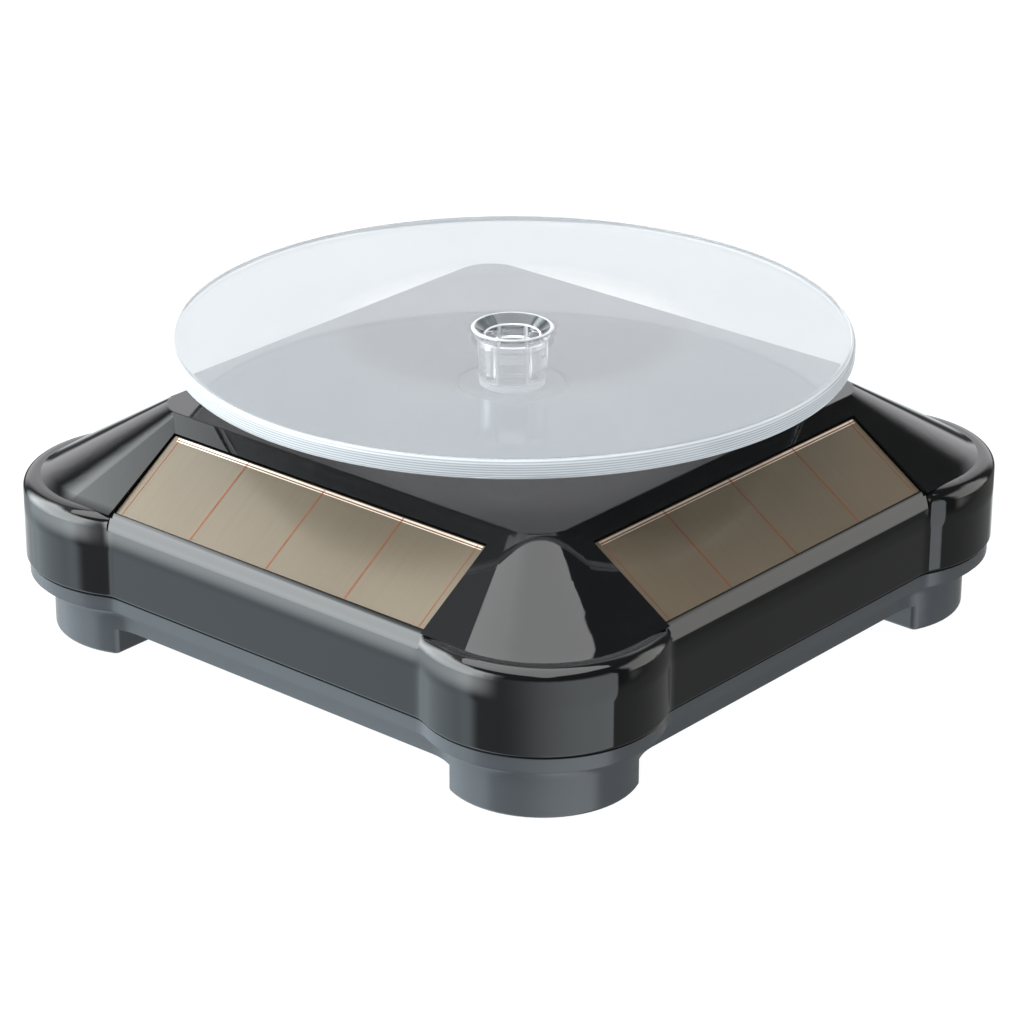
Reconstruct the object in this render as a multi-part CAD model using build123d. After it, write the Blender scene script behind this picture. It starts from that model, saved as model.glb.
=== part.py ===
from build123d import *
import math
import os

# Solar turntable display stand, in millimetres.
# Frame: +Z up, origin on the ground under the middle of the disc, -Y is the front.

# ---- outer case -------------------------------------------------------------
CORNER_HALF = 51.0        # case half width over the swollen corners
CORNER_RADIUS = 16.2      # plan radius of the case corners, which stand out of the straight walls
SIDE_HALF = 49.1          # half width over the straight walls
SWELL_RADIUS = 4.0        # plan radius of the hollow where a wall swells into a corner
SEAM_Z = 10.12            # lower edge of the top cover
SHELF_Z = 21.72           # flat shelf at the foot of each corner cone
PLATEAU_Z = 31.02         # flat top under the disc
WALL_TOP_ROUND = 2.8      # rounding where a straight wall meets the slope
SHELF_ROUND = 1.7         # rounding of the swollen corners' top edge
SEAM_ROUND = 0.4          # rounding of the top cover's lower edge
PLATEAU_ROUND = 0.35      # rounding of the plateau's edge
PLATEAU_CORNER = 5.0      # plan radius of the plateau's corners
CREASE_IN = 1.0           # corner crease past the start of the plateau's corner
CONE_FOOT_HALF = 48.8     # half width over the corner cones at the shelf
CONE_FOOT_RADIUS = 14.4   # plan radius of the corner cones at the shelf
COVER_WALL = 2.0          # side wall and plateau thickness
SLOPE_WALL = 2.6          # thickness of the sloping faces, square to the slope
CASE_INNER_RADIUS = 12.8  # plan radius inside the corners

# ---- solar panels -----------------------------------------------------------
PANEL_TOP_X = 36.4        # panel window's upper edge, from the axis
PANEL_TOP_Z = 29.42
PANEL_LOW_X = 48.0        # panel window's lower edge, from the axis
PANEL_LOW_Z = 21.87
PANEL_HALF = 27.2         # half length of the panel window
PANEL_GAP = 0.22          # gap round each panel
PANEL_THICK = 1.1
PANEL_SINK = 0.25         # panel face below the sloping face
LEAD_HOLE_R = 1.0         # hole for the panel's leads
LEAD_HOLE_X = 20.0        # lead holes from the middle of the panel

# ---- base cover -------------------------------------------------------------
SKIRT_INSET = 3.55        # skirt and feet inside the case outline
FOOT_INNER = 29.3         # flat inner end of each foot, from the middle
FOOT_INNER_ROUND = 5.0    # plan radius of each foot's inner corner
FOOT_END_ROUND = 1.0      # rounding where a foot's outer wall meets its inner ends
FOOT_EDGE = 0.5           # rounding of each foot's lower edge
SKIRT_Z = 3.72            # lower edge of the skirt, height of the feet
FLOOR_THICK = 2.0
SKIRT_WALL = 2.0
SKIRT_INNER_RADIUS = 5.6  # plan radius inside the skirt's corners
BAND_LOW_Z = 8.02         # lower edge of the band under the seam
BAND_INSET = 0.45         # band inside the top cover's wall
BAND_BEAD = 0.35          # small step under the band
SEAM_GAP = 0.35           # open seam between the covers
COVE = 2.3                # rounding between the band and the skirt
RIM_HEIGHT = 2.3          # rib that keys the base cover inside the top cover
RIM_THICK = 1.5
RIM_CLEARANCE = 0.3

# ---- case screws, one up through each foot ----------------------------------
SCREW_XY = 37.4
SCREW_R = 1.25
SCREW_HEAD_R = 2.4
SCREW_HEAD_H = 1.7
SCREW_LENGTH = 12.0
SCREW_HOLE_GAP = 0.2      # radial clearance of the shank in the base
SCREW_HOLE_SPARE = 1.0    # pilot hole past the screw's tip
HEAD_HOLE_GAP = 0.5       # radial clearance round the head
HEAD_SEAT_Z = 4.42        # seat of the head inside the foot
PILLAR_R = 3.6            # base pillar and cover boss round each case screw
BOSS_FOOT_Z = 9.22        # where the cover's boss stands on the base pillar

# ---- screw heads ------------------------------------------------------------
HEAD_ROUND = 0.4          # rounding of a head over its height
CROSS_LENGTH = 1.1        # crossed recess over the head's radius
CROSS_WIDTH = 0.28        # slot of the recess over the head's radius

# ---- disc and drive ---------------------------------------------------------
DISC_R = 45.35
DISC_TOP_Z = 40.62
DISC_THICK = 2.8
DISC_EDGE = 0.9           # rounding of the disc's rim
HUB_TOP_R = 4.8           # hub under the disc
HUB_LOW_R = 4.5           # hub at its lower end
HUB_LIP_R = 5.5           # raised lip round the hub's mouth
HUB_LIP_H = 0.25
HUB_LIP_EDGE = 0.22       # rounding of the lip
HUB_MOUTH_R = 5.1         # flared mouth of the hub
HUB_MOUTH_DEPTH = 1.5
HUB_ROOT = 0.5            # rounding between disc and hub
HEX_AF = 6.4              # hexagonal socket, across flats
HEX_TURN = -49.3          # one flat of the socket faces this way at rest
PEG_CLEARANCE = 0.08      # per side, peg in the socket
PEG_HEIGHT = 3.2
COLLAR_R = 4.4
COLLAR_H = 0.6
COLLAR_GAP = 0.15         # collar above the bush
SEAT_GAP = 0.03           # hub above the collar, so the two faces don't share a plane
BUSH_FLANGE_R = 7.2
BUSH_FLANGE_H = 0.5
BUSH_EDGE = 0.3           # rounding of the flange
BUSH_RECESS_R = 7.5
BUSH_RECESS_H = 0.65
BUSH_BODY_R = 4.5
BUSH_BODY_H = 3.2
BUSH_BOSS_R = 6.8
JOURNAL_R = 3.0
RUNNING_GAP = 0.05        # radial clearance of everything that turns
SHAFT_R = 2.0
SHAFT_GAP = 0.3           # radial clearance of the shaft in the upper plate
PIVOT_R = 1.2

# ---- gear train -------------------------------------------------------------
MODULE = 0.5
PRESSURE_ANGLE = math.radians(20)
ADDENDUM = 0.9
DEDENDUM = 1.25
SHIFT = 0.35              # pinions are shifted out by this, wheels in
BACKLASH = 0.08           # thinning of each tooth
FLANK_STEPS = 4
WHEEL_TEETH = 48
SMALL_TEETH = 12
FIRST_WHEEL_TEETH = 50
MOTOR_TEETH = 10
SECOND_TURN = -45.0       # direction from the spindle to the second gear
FIRST_TURN = -135.0       # direction from the second gear to the first gear
MOTOR_TURN = 180.0        # direction from the first gear to the motor
AXLE_R = 0.75
GEAR_HUB_R = 1.5
LOW_PLATE_Z = 11.22
PLATE_THICK = 1.6
UP_PLATE_Z = 25.02
PLATE_X = (-26.7, 24.3)
PLATE_Y = (-34.7, 14.3)
PLATE_CORNER = 4.0
END_FLOAT = 0.2           # axial play under and over the gears
OUTPUT_Z = 13.42
OUTPUT_FACE = 3.0
OUTPUT_HUB_R = 4.0
OUTPUT_HUB_TOP = 17.02
SECOND_WHEEL_Z = 17.42
SECOND_FACE = 2.5
FIRST_PINION_Z = 17.12
FIRST_WHEEL_Z = 20.82
FIRST_FACE = 2.5
AXLE_SINK = 1.2           # depth of an axle's end in a plate
POST_XY = ((-21.0, 9.5), (20.5, 10.0), (17.5, -29.0))
POST_R = 2.6
BOX_BOSS_R = 3.6          # cover bosses over the posts
BOX_SCREW_R = 1.1
BOX_SCREW_GAP = 0.15
BOX_SCREW_HEAD_R = 2.0
BOX_SCREW_HEAD_H = 1.3
BOX_SCREW_BITE = 1.6      # thread length in the top cover's bosses

# ---- motor ------------------------------------------------------------------
MOTOR_R = 9.0
MOTOR_TOP_Z = 19.82
CAN_LOW_Z = 8.02
CAN_WALL = 0.6
END_CAP_THICK = 1.5
END_CAP_PLUG = 1.2
MAGNET_INNER_R = 5.6
MAGNET_Z = (10.22, 17.82)
MAGNET_ARC = 140.0
ROTOR_R = 5.1
ROTOR_Z = (11.02, 17.02)
ROTOR_SLOT = 1.4
ROTOR_SLOT_IN = 2.3       # inner end of each slot, from the shaft's axis
MOTOR_SHAFT_R = 0.75
MOTOR_SHAFT_TOP = 24.22
PINION_Z = 20.62
PINION_FACE = 3.2
CUP_WALL = 1.2
CUP_Z = (8.82, 18.22)
TERMINAL_SIZE = (0.5, 2.0, 2.0)
TERMINAL_X = 5.0
TERMINAL_DROP = 0.5       # lug end under the end cap

# ---- battery ----------------------------------------------------------------
CELL_R = 7.25
CELL_LENGTH = 49.5
CELL_NUB_R = 2.75
CELL_NUB_H = 1.0
CELL_EDGE = 0.6
CELL_Y = 31.0
CELL_Z = 13.52
CELL_X = -24.5            # flat end of the cell
BAY_GAP = 0.45            # between the cell and the bay's side walls
BAY_WALL = 1.3
BAY_TOP_Z = 17.22
BAY_END_X = (-27.2, 26.4)
CONTACT_THICK = 0.4
CONTACT_WIDTH = 9.0
TAG_WIDTH = 3.0           # solder tag of each contact
LEAF_WIDTH = 5.0          # curved leaf of the negative contact
LEAF_RISE = 4.6           # half height of the leaf
CONTACT_TOP_Z = 17.72
DOOR_X = (-26.0, 26.0)
DOOR_Y = (23.6, 38.4)
DOOR_GAP = 0.3
DOOR_THICK = 1.8
DOOR_RECESS = 0.1         # door's outer face above the skirt's lower edge
DOOR_SWING_CHAMFER = 0.5
TONGUE_X = 16.0
TONGUE_WIDTH = 7.0
TONGUE_REACH = 1.3
TONGUE_H = 1.0
TONGUE_ROOT = 1.6         # length of the tongue's root on the door
TONGUE_LIFT = 0.1         # tongue above the floor
HINGE_EDGE = 0.15         # blunt edge left on the floor at the hinge line
LATCH_WIDTH = 9.0
LATCH_THICK = 1.2
LATCH_TOP_Z = 8.62
LATCH_BACK = 0.3          # latch tab behind the door's edge
GRIP_RIBS = 5
GRIP_PITCH = 1.3
GRIP_DEPTH = 0.4
GRIP_START = 2.2          # first rib from the door's edge

# ---- switch and board -------------------------------------------------------
SWITCH_X = 33.0
SWITCH_BODY = (6.0, 13.5, 4.8)
SWITCH_TRAVEL = 2.5
SWITCH_GAP = 0.3
SLIDER_BASE = (3.6, 7.0, 1.6)
KNOB = (2.6, 2.8)
KNOB_GROOVE = 0.3         # width and depth of the knob's grooves
KNOB_GROOVE_PITCH = 0.8
KNOB_LOW_Z = 3.12
SWITCH_FRAME_H = 0.3      # shallow well round the knob
SWITCH_FRAME_MARGIN = 1.2 # well past the knob's slot
BOARD_SIZE = (15.0, 30.0, 1.2)
BOARD_Z = 10.82
BOARD_SCREW_Y = 11.8
BOARD_SCREW_R = 0.9
BOARD_SCREW_HEAD_R = 1.7
BOARD_SCREW_HEAD_H = 1.1
BOARD_SCREW_LENGTH = 4.0
BOARD_SCREW_GAP = 0.2     # radial clearance of the screw in the board
BOARD_SCREW_SPARE = 0.4   # screw's tip above the end of its hole
BOARD_CORNER = 1.0
BOARD_POST_R = 2.4
CAPACITOR_R = 2.5
CAPACITOR_H = 7.0
CAPACITOR_EDGE = 0.4
CAPACITOR_XY = (35.5, -5.5)
DIODE_R = 0.9
DIODE_LENGTH = 4.2
DIODE_Y = (3.0, 6.5)

# ---- leads ------------------------------------------------------------------
LEAD_R = 0.5
BEND_SHARE = 0.45         # part of a straight run that each bend may take
LEAD_START_IN = 0.4       # lead's end on the solder tag
PLUS_STEPS = ((4.0, -4.0, 0.0), (5.5, -12.0, -3.0))
MINUS_STEPS = (
    (-3.0, -4.0, 0.0), (-1.0, -11.0, 1.0), (12.0, -13.5, 1.0), (33.5, -14.0, 1.0), (50.5, -14.5, 0.0),
)
PLUS_PAD = (1.5, 13.5)    # lead's end on the board, from the switch's middle
MINUS_PAD = (-3.0, 12.0)

# ---- cutters ----------------------------------------------------------------
CUT_PAST = 1.0            # how far a cutter runs past a face

# ---- derived places ---------------------------------------------------------
SLOPE = (PANEL_TOP_Z - PANEL_LOW_Z) / (PANEL_LOW_X - PANEL_TOP_X)
SLOPE_ANGLE = math.atan(SLOPE)
PANEL_RUN = math.hypot(PANEL_LOW_X - PANEL_TOP_X, PANEL_TOP_Z - PANEL_LOW_Z)
FLOOR_Z = SKIRT_Z + FLOOR_THICK
DISC_LOW_Z = DISC_TOP_Z - DISC_THICK
CEILING_Z = PLATEAU_Z - COVER_WALL
BUSH_TOP_Z = PLATEAU_Z - BUSH_RECESS_H + BUSH_FLANGE_H
COLLAR_Z = BUSH_TOP_Z + COLLAR_GAP
HUB_LOW_Z = COLLAR_Z + COLLAR_H + SEAT_GAP
BOSS_TOP_Z = UP_PLATE_Z + PLATE_THICK


def slope_x(z):
    """Distance from the axis of a sloping face's surface at height z."""
    return PANEL_LOW_X + (PANEL_LOW_Z - z) / SLOPE


def slope_z(x):
    """Height of a sloping face's surface at distance x from the axis."""
    return PANEL_LOW_Z + (PANEL_LOW_X - x) * SLOPE


def direction(degrees):
    """Unit step in the ground plane."""
    return math.cos(math.radians(degrees)), math.sin(math.radians(degrees))


def stepped(start, distance, degrees):
    """The point at a distance from start, in a direction."""
    step_x, step_y = direction(degrees)
    return start[0] + distance * step_x, start[1] + distance * step_y


WHEEL_CENTRES = MODULE * (WHEEL_TEETH + SMALL_TEETH) / 2
MOTOR_CENTRES = MODULE * (FIRST_WHEEL_TEETH + MOTOR_TEETH) / 2
SPINDLE_XY = (0.0, 0.0)
SECOND_XY = stepped(SPINDLE_XY, WHEEL_CENTRES, SECOND_TURN)
FIRST_XY = stepped(SECOND_XY, WHEEL_CENTRES, FIRST_TURN)
MOTOR_XY = stepped(FIRST_XY, MOTOR_CENTRES, MOTOR_TURN)


# ---- shape helpers ----------------------------------------------------------
def box(x, y, z):
    """Box between the given (low, high) pairs."""
    size = [pair[1] - pair[0] for pair in (x, y, z)]
    middle = [(pair[0] + pair[1]) / 2 for pair in (x, y, z)]
    return Pos(*middle) * Box(*size)


def rod(xy, radius, low, high):
    """Upright cylinder."""
    return Pos(xy[0], xy[1], (low + high) / 2) * Cylinder(radius, high - low)


def rod_along_x(yz, radius, low, high):
    """Cylinder along X."""
    return Pos((low + high) / 2, yz[0], yz[1]) * Rot(0, 90, 0) * Cylinder(radius, high - low)


def rod_along_y(xz, radius, low, high):
    """Cylinder along Y."""
    return Pos(xz[0], (low + high) / 2, xz[1]) * Rot(90, 0, 0) * Cylinder(radius, high - low)


def slab(face, low, high):
    """Face in the ground plane, raised into a slab."""
    return Pos(0, 0, low) * extrude(face, high - low)


def rounded_square(half, radius):
    """Square face with rounded corners."""
    return RectangleRounded(2 * half, 2 * half, radius)


def frustum(low_half, low_radius, low_z, high_half, high_radius, high_z):
    """Solid between two rounded squares at two heights."""
    low = Pos(0, 0, low_z) * rounded_square(low_half, low_radius)
    high = Pos(0, 0, high_z) * rounded_square(high_half, high_radius)
    return loft([low, high], ruled=True)


def arc_between(centre, radius, start, end):
    """Arc by centre, radius and two angles in degrees."""
    points = [stepped(centre, radius, angle) for angle in (start, (start + end) / 2, end)]
    return ThreePointArc(*points)


def swell_start():
    """Where a straight wall ends and the swell towards the corner starts."""
    corner = CORNER_HALF - CORNER_RADIUS
    reach = CORNER_RADIUS + SWELL_RADIUS
    return corner - math.sqrt(reach ** 2 - (SIDE_HALF + SWELL_RADIUS - corner) ** 2)


def case_face(inset=0.0):
    """Plan outline of the case: straight walls that swell into round corners."""
    corner = CORNER_HALF - CORNER_RADIUS
    reach = CORNER_RADIUS + SWELL_RADIUS
    out = SIDE_HALF + SWELL_RADIUS
    swell = swell_start()
    lean = math.degrees(math.acos((out - corner) / reach))
    wall = SIDE_HALF - inset
    side = [
        Line((-swell, -wall), (swell, -wall)),
        arc_between((swell, -out), SWELL_RADIUS + inset, 90, 90 - lean),
        arc_between((corner, -corner), CORNER_RADIUS - inset, 270 - lean, 360 + lean),
        arc_between((out, -swell), SWELL_RADIUS + inset, 180 + lean, 180),
    ]
    return make_face([Rot(0, 0, 90 * turn) * edge for turn in range(4) for edge in side])


def hexagon(across_flats):
    """Hexagon with one flat facing HEX_TURN."""
    corner_radius = across_flats / math.sqrt(3)
    return Rot(0, 0, HEX_TURN + 30) * RegularPolygon(corner_radius, 6)


def four_times(piece):
    """The piece and its three quarter turns."""
    return [Rot(0, 0, 90 * turn) * piece for turn in range(4)]


def joined(pieces):
    """All the pieces as one."""
    whole = pieces[0]
    for piece in pieces[1:]:
        whole = whole + piece
    return whole


def case_screw_spots():
    """Where the four case screws stand."""
    return [(x, y) for x in (-SCREW_XY, SCREW_XY) for y in (-SCREW_XY, SCREW_XY)]


def screw(xy, seat_z, head_r, head_h, shank_r, length):
    """Pan-head screw pointing up, its head under seat_z, with a crossed recess."""
    head = rod(xy, head_r, seat_z - head_h, seat_z)
    low_edge = head.edges().sort_by(Axis.Z)[0]
    head = fillet(low_edge, head_h * HEAD_ROUND)
    shank = rod(xy, shank_r, seat_z, seat_z + length)
    slot = Box(head_r * CROSS_LENGTH, head_r * CROSS_WIDTH, head_h)
    cross = Pos(xy[0], xy[1], seat_z - head_h) * (slot + Rot(0, 0, 90) * slot)
    return head + shank - cross


def save(name, shape):
    """Write one node's STEP file."""
    export_step(shape, f"parts/{name}.step")


# ---- gears ------------------------------------------------------------------
def involute(angle):
    """Involute function of a pressure angle."""
    return math.tan(angle) - angle


def gear_face(teeth, shift, tooth_turn):
    """Face of a spur gear with one tooth centred on the direction tooth_turn."""
    pitch_r = MODULE * teeth / 2
    base_r = pitch_r * math.cos(PRESSURE_ANGLE)
    tip_r = pitch_r + MODULE * (ADDENDUM + shift)
    root_r = pitch_r - MODULE * (DEDENDUM - shift)
    thickness = MODULE * (math.pi / 2 + 2 * shift * math.tan(PRESSURE_ANGLE)) - BACKLASH
    at_base = thickness / (2 * pitch_r) + involute(PRESSURE_ANGLE)
    start_r = max(base_r, root_r)
    flank = [(root_r, at_base)] if root_r < base_r else []
    for step in range(FLANK_STEPS + 1):
        radius = start_r + (tip_r - start_r) * step / FLANK_STEPS
        flank.append((radius, at_base - involute(math.acos(base_r / radius))))
    points = []
    for tooth in range(teeth):
        middle = math.radians(tooth_turn) + 2 * math.pi * tooth / teeth
        rising = [(radius, middle - half) for radius, half in flank]
        falling = [(radius, middle + half) for radius, half in reversed(flank)]
        points += [(r * math.cos(a), r * math.sin(a)) for r, a in rising + falling]
    return make_face(Polyline(*points, close=True))


def toothed(xy, teeth, shift, tooth_turn, low, high):
    """Toothed slab of one gear."""
    return Pos(xy[0], xy[1], 0) * slab(gear_face(teeth, shift, tooth_turn), low, high)


def gap_turn(teeth, degrees):
    """Tooth direction that puts a tooth gap on the given direction."""
    return degrees + 180.0 / teeth


def output_gear():
    """Wheel on the spindle, driven by the second gear."""
    turn = gap_turn(WHEEL_TEETH, SECOND_TURN)
    wheel = toothed(SPINDLE_XY, WHEEL_TEETH, -SHIFT, turn, OUTPUT_Z, OUTPUT_Z + OUTPUT_FACE)
    low = LOW_PLATE_Z + PLATE_THICK + END_FLOAT
    hub = rod(SPINDLE_XY, OUTPUT_HUB_R, low, OUTPUT_HUB_TOP)
    return wheel + hub - rod(SPINDLE_XY, SHAFT_R, low, OUTPUT_HUB_TOP)


def second_gear():
    """Compound gear: its pinion drives the output gear."""
    low = LOW_PLATE_Z + PLATE_THICK + END_FLOAT
    high = UP_PLATE_Z - END_FLOAT
    pinion = toothed(SECOND_XY, SMALL_TEETH, SHIFT, SECOND_TURN + 180, low, SECOND_WHEEL_Z)
    turn = gap_turn(WHEEL_TEETH, FIRST_TURN)
    top = SECOND_WHEEL_Z + SECOND_FACE
    wheel = toothed(SECOND_XY, WHEEL_TEETH, -SHIFT, turn, SECOND_WHEEL_Z, top)
    hub = rod(SECOND_XY, GEAR_HUB_R, top, high)
    return pinion + wheel + hub - rod(SECOND_XY, AXLE_R + RUNNING_GAP, low, high)


def first_gear():
    """Compound gear: the motor drives its wheel."""
    low = LOW_PLATE_Z + PLATE_THICK + END_FLOAT
    high = UP_PLATE_Z - END_FLOAT
    pinion = toothed(FIRST_XY, SMALL_TEETH, SHIFT, FIRST_TURN + 180, FIRST_PINION_Z, FIRST_WHEEL_Z)
    turn = gap_turn(FIRST_WHEEL_TEETH, MOTOR_TURN)
    top = FIRST_WHEEL_Z + FIRST_FACE
    wheel = toothed(FIRST_XY, FIRST_WHEEL_TEETH, -SHIFT, turn, FIRST_WHEEL_Z, top)
    hubs = rod(FIRST_XY, GEAR_HUB_R, low, FIRST_PINION_Z) + rod(FIRST_XY, GEAR_HUB_R, top, high)
    return pinion + wheel + hubs - rod(FIRST_XY, AXLE_R + RUNNING_GAP, low, high)


def motor_pinion():
    """Brass pinion pressed on the motor shaft."""
    top = PINION_Z + PINION_FACE
    pinion = toothed(MOTOR_XY, MOTOR_TEETH, SHIFT, MOTOR_TURN + 180, PINION_Z, top)
    return pinion - rod(MOTOR_XY, MOTOR_SHAFT_R, PINION_Z, top)


def gear_axles():
    """The two fixed steel axles."""
    low = LOW_PLATE_Z + PLATE_THICK - AXLE_SINK
    high = UP_PLATE_Z + AXLE_SINK
    return Compound([rod(xy, AXLE_R, low, high) for xy in (SECOND_XY, FIRST_XY)])


# ---- gearbox plates ---------------------------------------------------------
def plate_face():
    """Outline of both gearbox plates."""
    middle = Pos(sum(PLATE_X) / 2, sum(PLATE_Y) / 2)
    size = (PLATE_X[1] - PLATE_X[0], PLATE_Y[1] - PLATE_Y[0])
    return middle * RectangleRounded(*size, PLATE_CORNER)


def gearbox_lower_plate():
    """Lower plate with the motor cup and the posts for the upper plate."""
    top = LOW_PLATE_Z + PLATE_THICK
    plate = slab(plate_face(), LOW_PLATE_Z, top)
    cup = rod(MOTOR_XY, MOTOR_R + CUP_WALL, *CUP_Z)
    posts = [rod(xy, POST_R, top, UP_PLATE_Z) for xy in POST_XY]
    plate = joined([plate, cup] + posts)
    plate -= rod(MOTOR_XY, MOTOR_R, *CUP_Z)
    plate -= rod(SPINDLE_XY, PIVOT_R + RUNNING_GAP, LOW_PLATE_Z, top)
    for xy in (SECOND_XY, FIRST_XY):
        plate -= rod(xy, AXLE_R, top - AXLE_SINK, top)
    for xy in POST_XY:
        plate -= rod(xy, BOX_SCREW_R + BOX_SCREW_GAP, LOW_PLATE_Z, UP_PLATE_Z)
    return plate


def gearbox_upper_plate():
    """Upper plate, clamped between the posts and the top cover's bosses."""
    plate = slab(plate_face(), UP_PLATE_Z, BOSS_TOP_Z)
    plate -= rod(SPINDLE_XY, SHAFT_R + SHAFT_GAP, UP_PLATE_Z, BOSS_TOP_Z)
    for xy in (SECOND_XY, FIRST_XY):
        plate -= rod(xy, AXLE_R, UP_PLATE_Z, UP_PLATE_Z + AXLE_SINK)
    for xy in POST_XY:
        plate -= rod(xy, BOX_SCREW_R + BOX_SCREW_GAP, UP_PLATE_Z, BOSS_TOP_Z)
    return plate


def gearbox_screws():
    """Screws from below, through the posts into the top cover."""
    length = BOSS_TOP_Z + BOX_SCREW_BITE - LOW_PLATE_Z
    sizes = (BOX_SCREW_HEAD_R, BOX_SCREW_HEAD_H, BOX_SCREW_R, length)
    return Compound([screw(xy, LOW_PLATE_Z, *sizes) for xy in POST_XY])


# ---- motor ------------------------------------------------------------------
def motor_can():
    """Drawn steel can with a hole for the shaft in its top."""
    can = rod(MOTOR_XY, MOTOR_R, CAN_LOW_Z, MOTOR_TOP_Z)
    can = fillet(can.edges().sort_by(Axis.Z)[-1], CAN_WALL)
    can -= rod(MOTOR_XY, MOTOR_R - CAN_WALL, CAN_LOW_Z, MOTOR_TOP_Z - 2 * CAN_WALL)
    return can - rod(MOTOR_XY, MOTOR_SHAFT_R + RUNNING_GAP, CAN_LOW_Z, MOTOR_TOP_Z)


def motor_end_cap():
    """Moulded cap that closes the can and carries the lower bearing."""
    flange = rod(MOTOR_XY, MOTOR_R, CAN_LOW_Z - END_CAP_THICK, CAN_LOW_Z)
    plug = rod(MOTOR_XY, MOTOR_R - CAN_WALL, CAN_LOW_Z, CAN_LOW_Z + END_CAP_PLUG)
    top = CAN_LOW_Z + END_CAP_PLUG
    bearing = rod(MOTOR_XY, MOTOR_SHAFT_R + RUNNING_GAP, CAN_LOW_Z - END_CAP_PLUG / 2, top)
    cap = flange + plug - bearing
    for lug in motor_terminals():
        cap -= lug
    return cap


def motor_magnets():
    """Two arc magnets inside the can."""
    ring = rod(MOTOR_XY, MOTOR_R - CAN_WALL, *MAGNET_Z) - rod(MOTOR_XY, MAGNET_INNER_R, *MAGNET_Z)
    reach = 2 * MOTOR_R
    edge = math.tan(math.radians(MAGNET_ARC / 2)) * reach
    wedge = make_face(Polyline((0, 0), (reach, -edge), (reach, edge), close=True))
    cutter = Pos(MOTOR_XY[0], MOTOR_XY[1], 0) * slab(wedge, *MAGNET_Z)
    other = Pos(MOTOR_XY[0], MOTOR_XY[1], 0) * Rot(0, 0, 180) * slab(wedge, *MAGNET_Z)
    return Compound([(ring & cutter).solid(), (ring & other).solid()])


def motor_rotor():
    """Shaft with a three-pole core."""
    core = rod(MOTOR_XY, ROTOR_R, *ROTOR_Z)
    for pole in range(3):
        slot = box((ROTOR_SLOT_IN, ROTOR_R), (-ROTOR_SLOT / 2, ROTOR_SLOT / 2), ROTOR_Z)
        core -= Pos(MOTOR_XY[0], MOTOR_XY[1], 0) * Rot(0, 0, 120 * pole) * slot
    shaft = rod(MOTOR_XY, MOTOR_SHAFT_R, CAN_LOW_Z - END_CAP_PLUG / 2 + END_FLOAT, MOTOR_SHAFT_TOP)
    return core + shaft


def motor_terminals():
    """Two solder lugs through the end cap."""
    middle_z = CAN_LOW_Z - END_CAP_THICK - TERMINAL_DROP + TERMINAL_SIZE[2] / 2
    places = [(MOTOR_XY[0] + side * TERMINAL_X, MOTOR_XY[1], middle_z) for side in (-1, 1)]
    return [Pos(*place) * Box(*TERMINAL_SIZE) for place in places]


# ---- disc and spindle -------------------------------------------------------
def display_disc():
    """Clear disc with its hub and hexagonal socket."""
    plate = rod(SPINDLE_XY, DISC_R, DISC_LOW_Z, DISC_TOP_Z)
    plate = fillet(plate.edges(), DISC_EDGE)
    hub = Pos(0, 0, (HUB_LOW_Z + DISC_LOW_Z) / 2) * Cone(HUB_LOW_R, HUB_TOP_R, DISC_LOW_Z - HUB_LOW_Z)
    lip_top = DISC_TOP_Z + HUB_LIP_H
    lip = rod(SPINDLE_XY, HUB_LIP_R, DISC_TOP_Z, lip_top)
    lip = fillet(lip.edges().sort_by(Axis.Z)[-1], HUB_LIP_EDGE)
    disc = plate + hub
    root = [edge for edge in disc.edges().filter_by(GeomType.CIRCLE)
            if abs(edge.radius - HUB_TOP_R) < 1e-3]
    disc = fillet(root, HUB_ROOT) + lip
    disc -= slab(hexagon(HEX_AF), HUB_LOW_Z, lip_top)
    narrow = HEX_AF / 2
    mouth = Cone(narrow, HUB_MOUTH_R, HUB_MOUTH_DEPTH)
    return disc - Pos(0, 0, lip_top - HUB_MOUTH_DEPTH / 2) * mouth


def drive_spindle():
    """Spindle: pivot, shaft, journal, collar and the hexagonal peg."""
    gear_low = LOW_PLATE_Z + PLATE_THICK + END_FLOAT
    pivot = rod(SPINDLE_XY, PIVOT_R, LOW_PLATE_Z, gear_low)
    journal_low = PLATEAU_Z - BUSH_RECESS_H - BUSH_BODY_H
    shaft = rod(SPINDLE_XY, SHAFT_R, gear_low, journal_low)
    journal = rod(SPINDLE_XY, JOURNAL_R, journal_low, COLLAR_Z)
    collar = rod(SPINDLE_XY, COLLAR_R, COLLAR_Z, COLLAR_Z + COLLAR_H)
    peg_low = COLLAR_Z + COLLAR_H
    peg = slab(hexagon(HEX_AF - 2 * PEG_CLEARANCE), peg_low, peg_low + PEG_HEIGHT)
    return joined([pivot, shaft, journal, collar, peg])


def spindle_bush():
    """Flanged bush that guides the spindle in the plateau."""
    seat = PLATEAU_Z - BUSH_RECESS_H
    flange = rod(SPINDLE_XY, BUSH_FLANGE_R, seat, seat + BUSH_FLANGE_H)
    flange = fillet(flange.edges().sort_by(Axis.Z)[-1], BUSH_EDGE)
    body = rod(SPINDLE_XY, BUSH_BODY_R, seat - BUSH_BODY_H, seat)
    low = seat - BUSH_BODY_H
    return flange + body - rod(SPINDLE_XY, JOURNAL_R + RUNNING_GAP, low, seat + BUSH_FLANGE_H)


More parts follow.
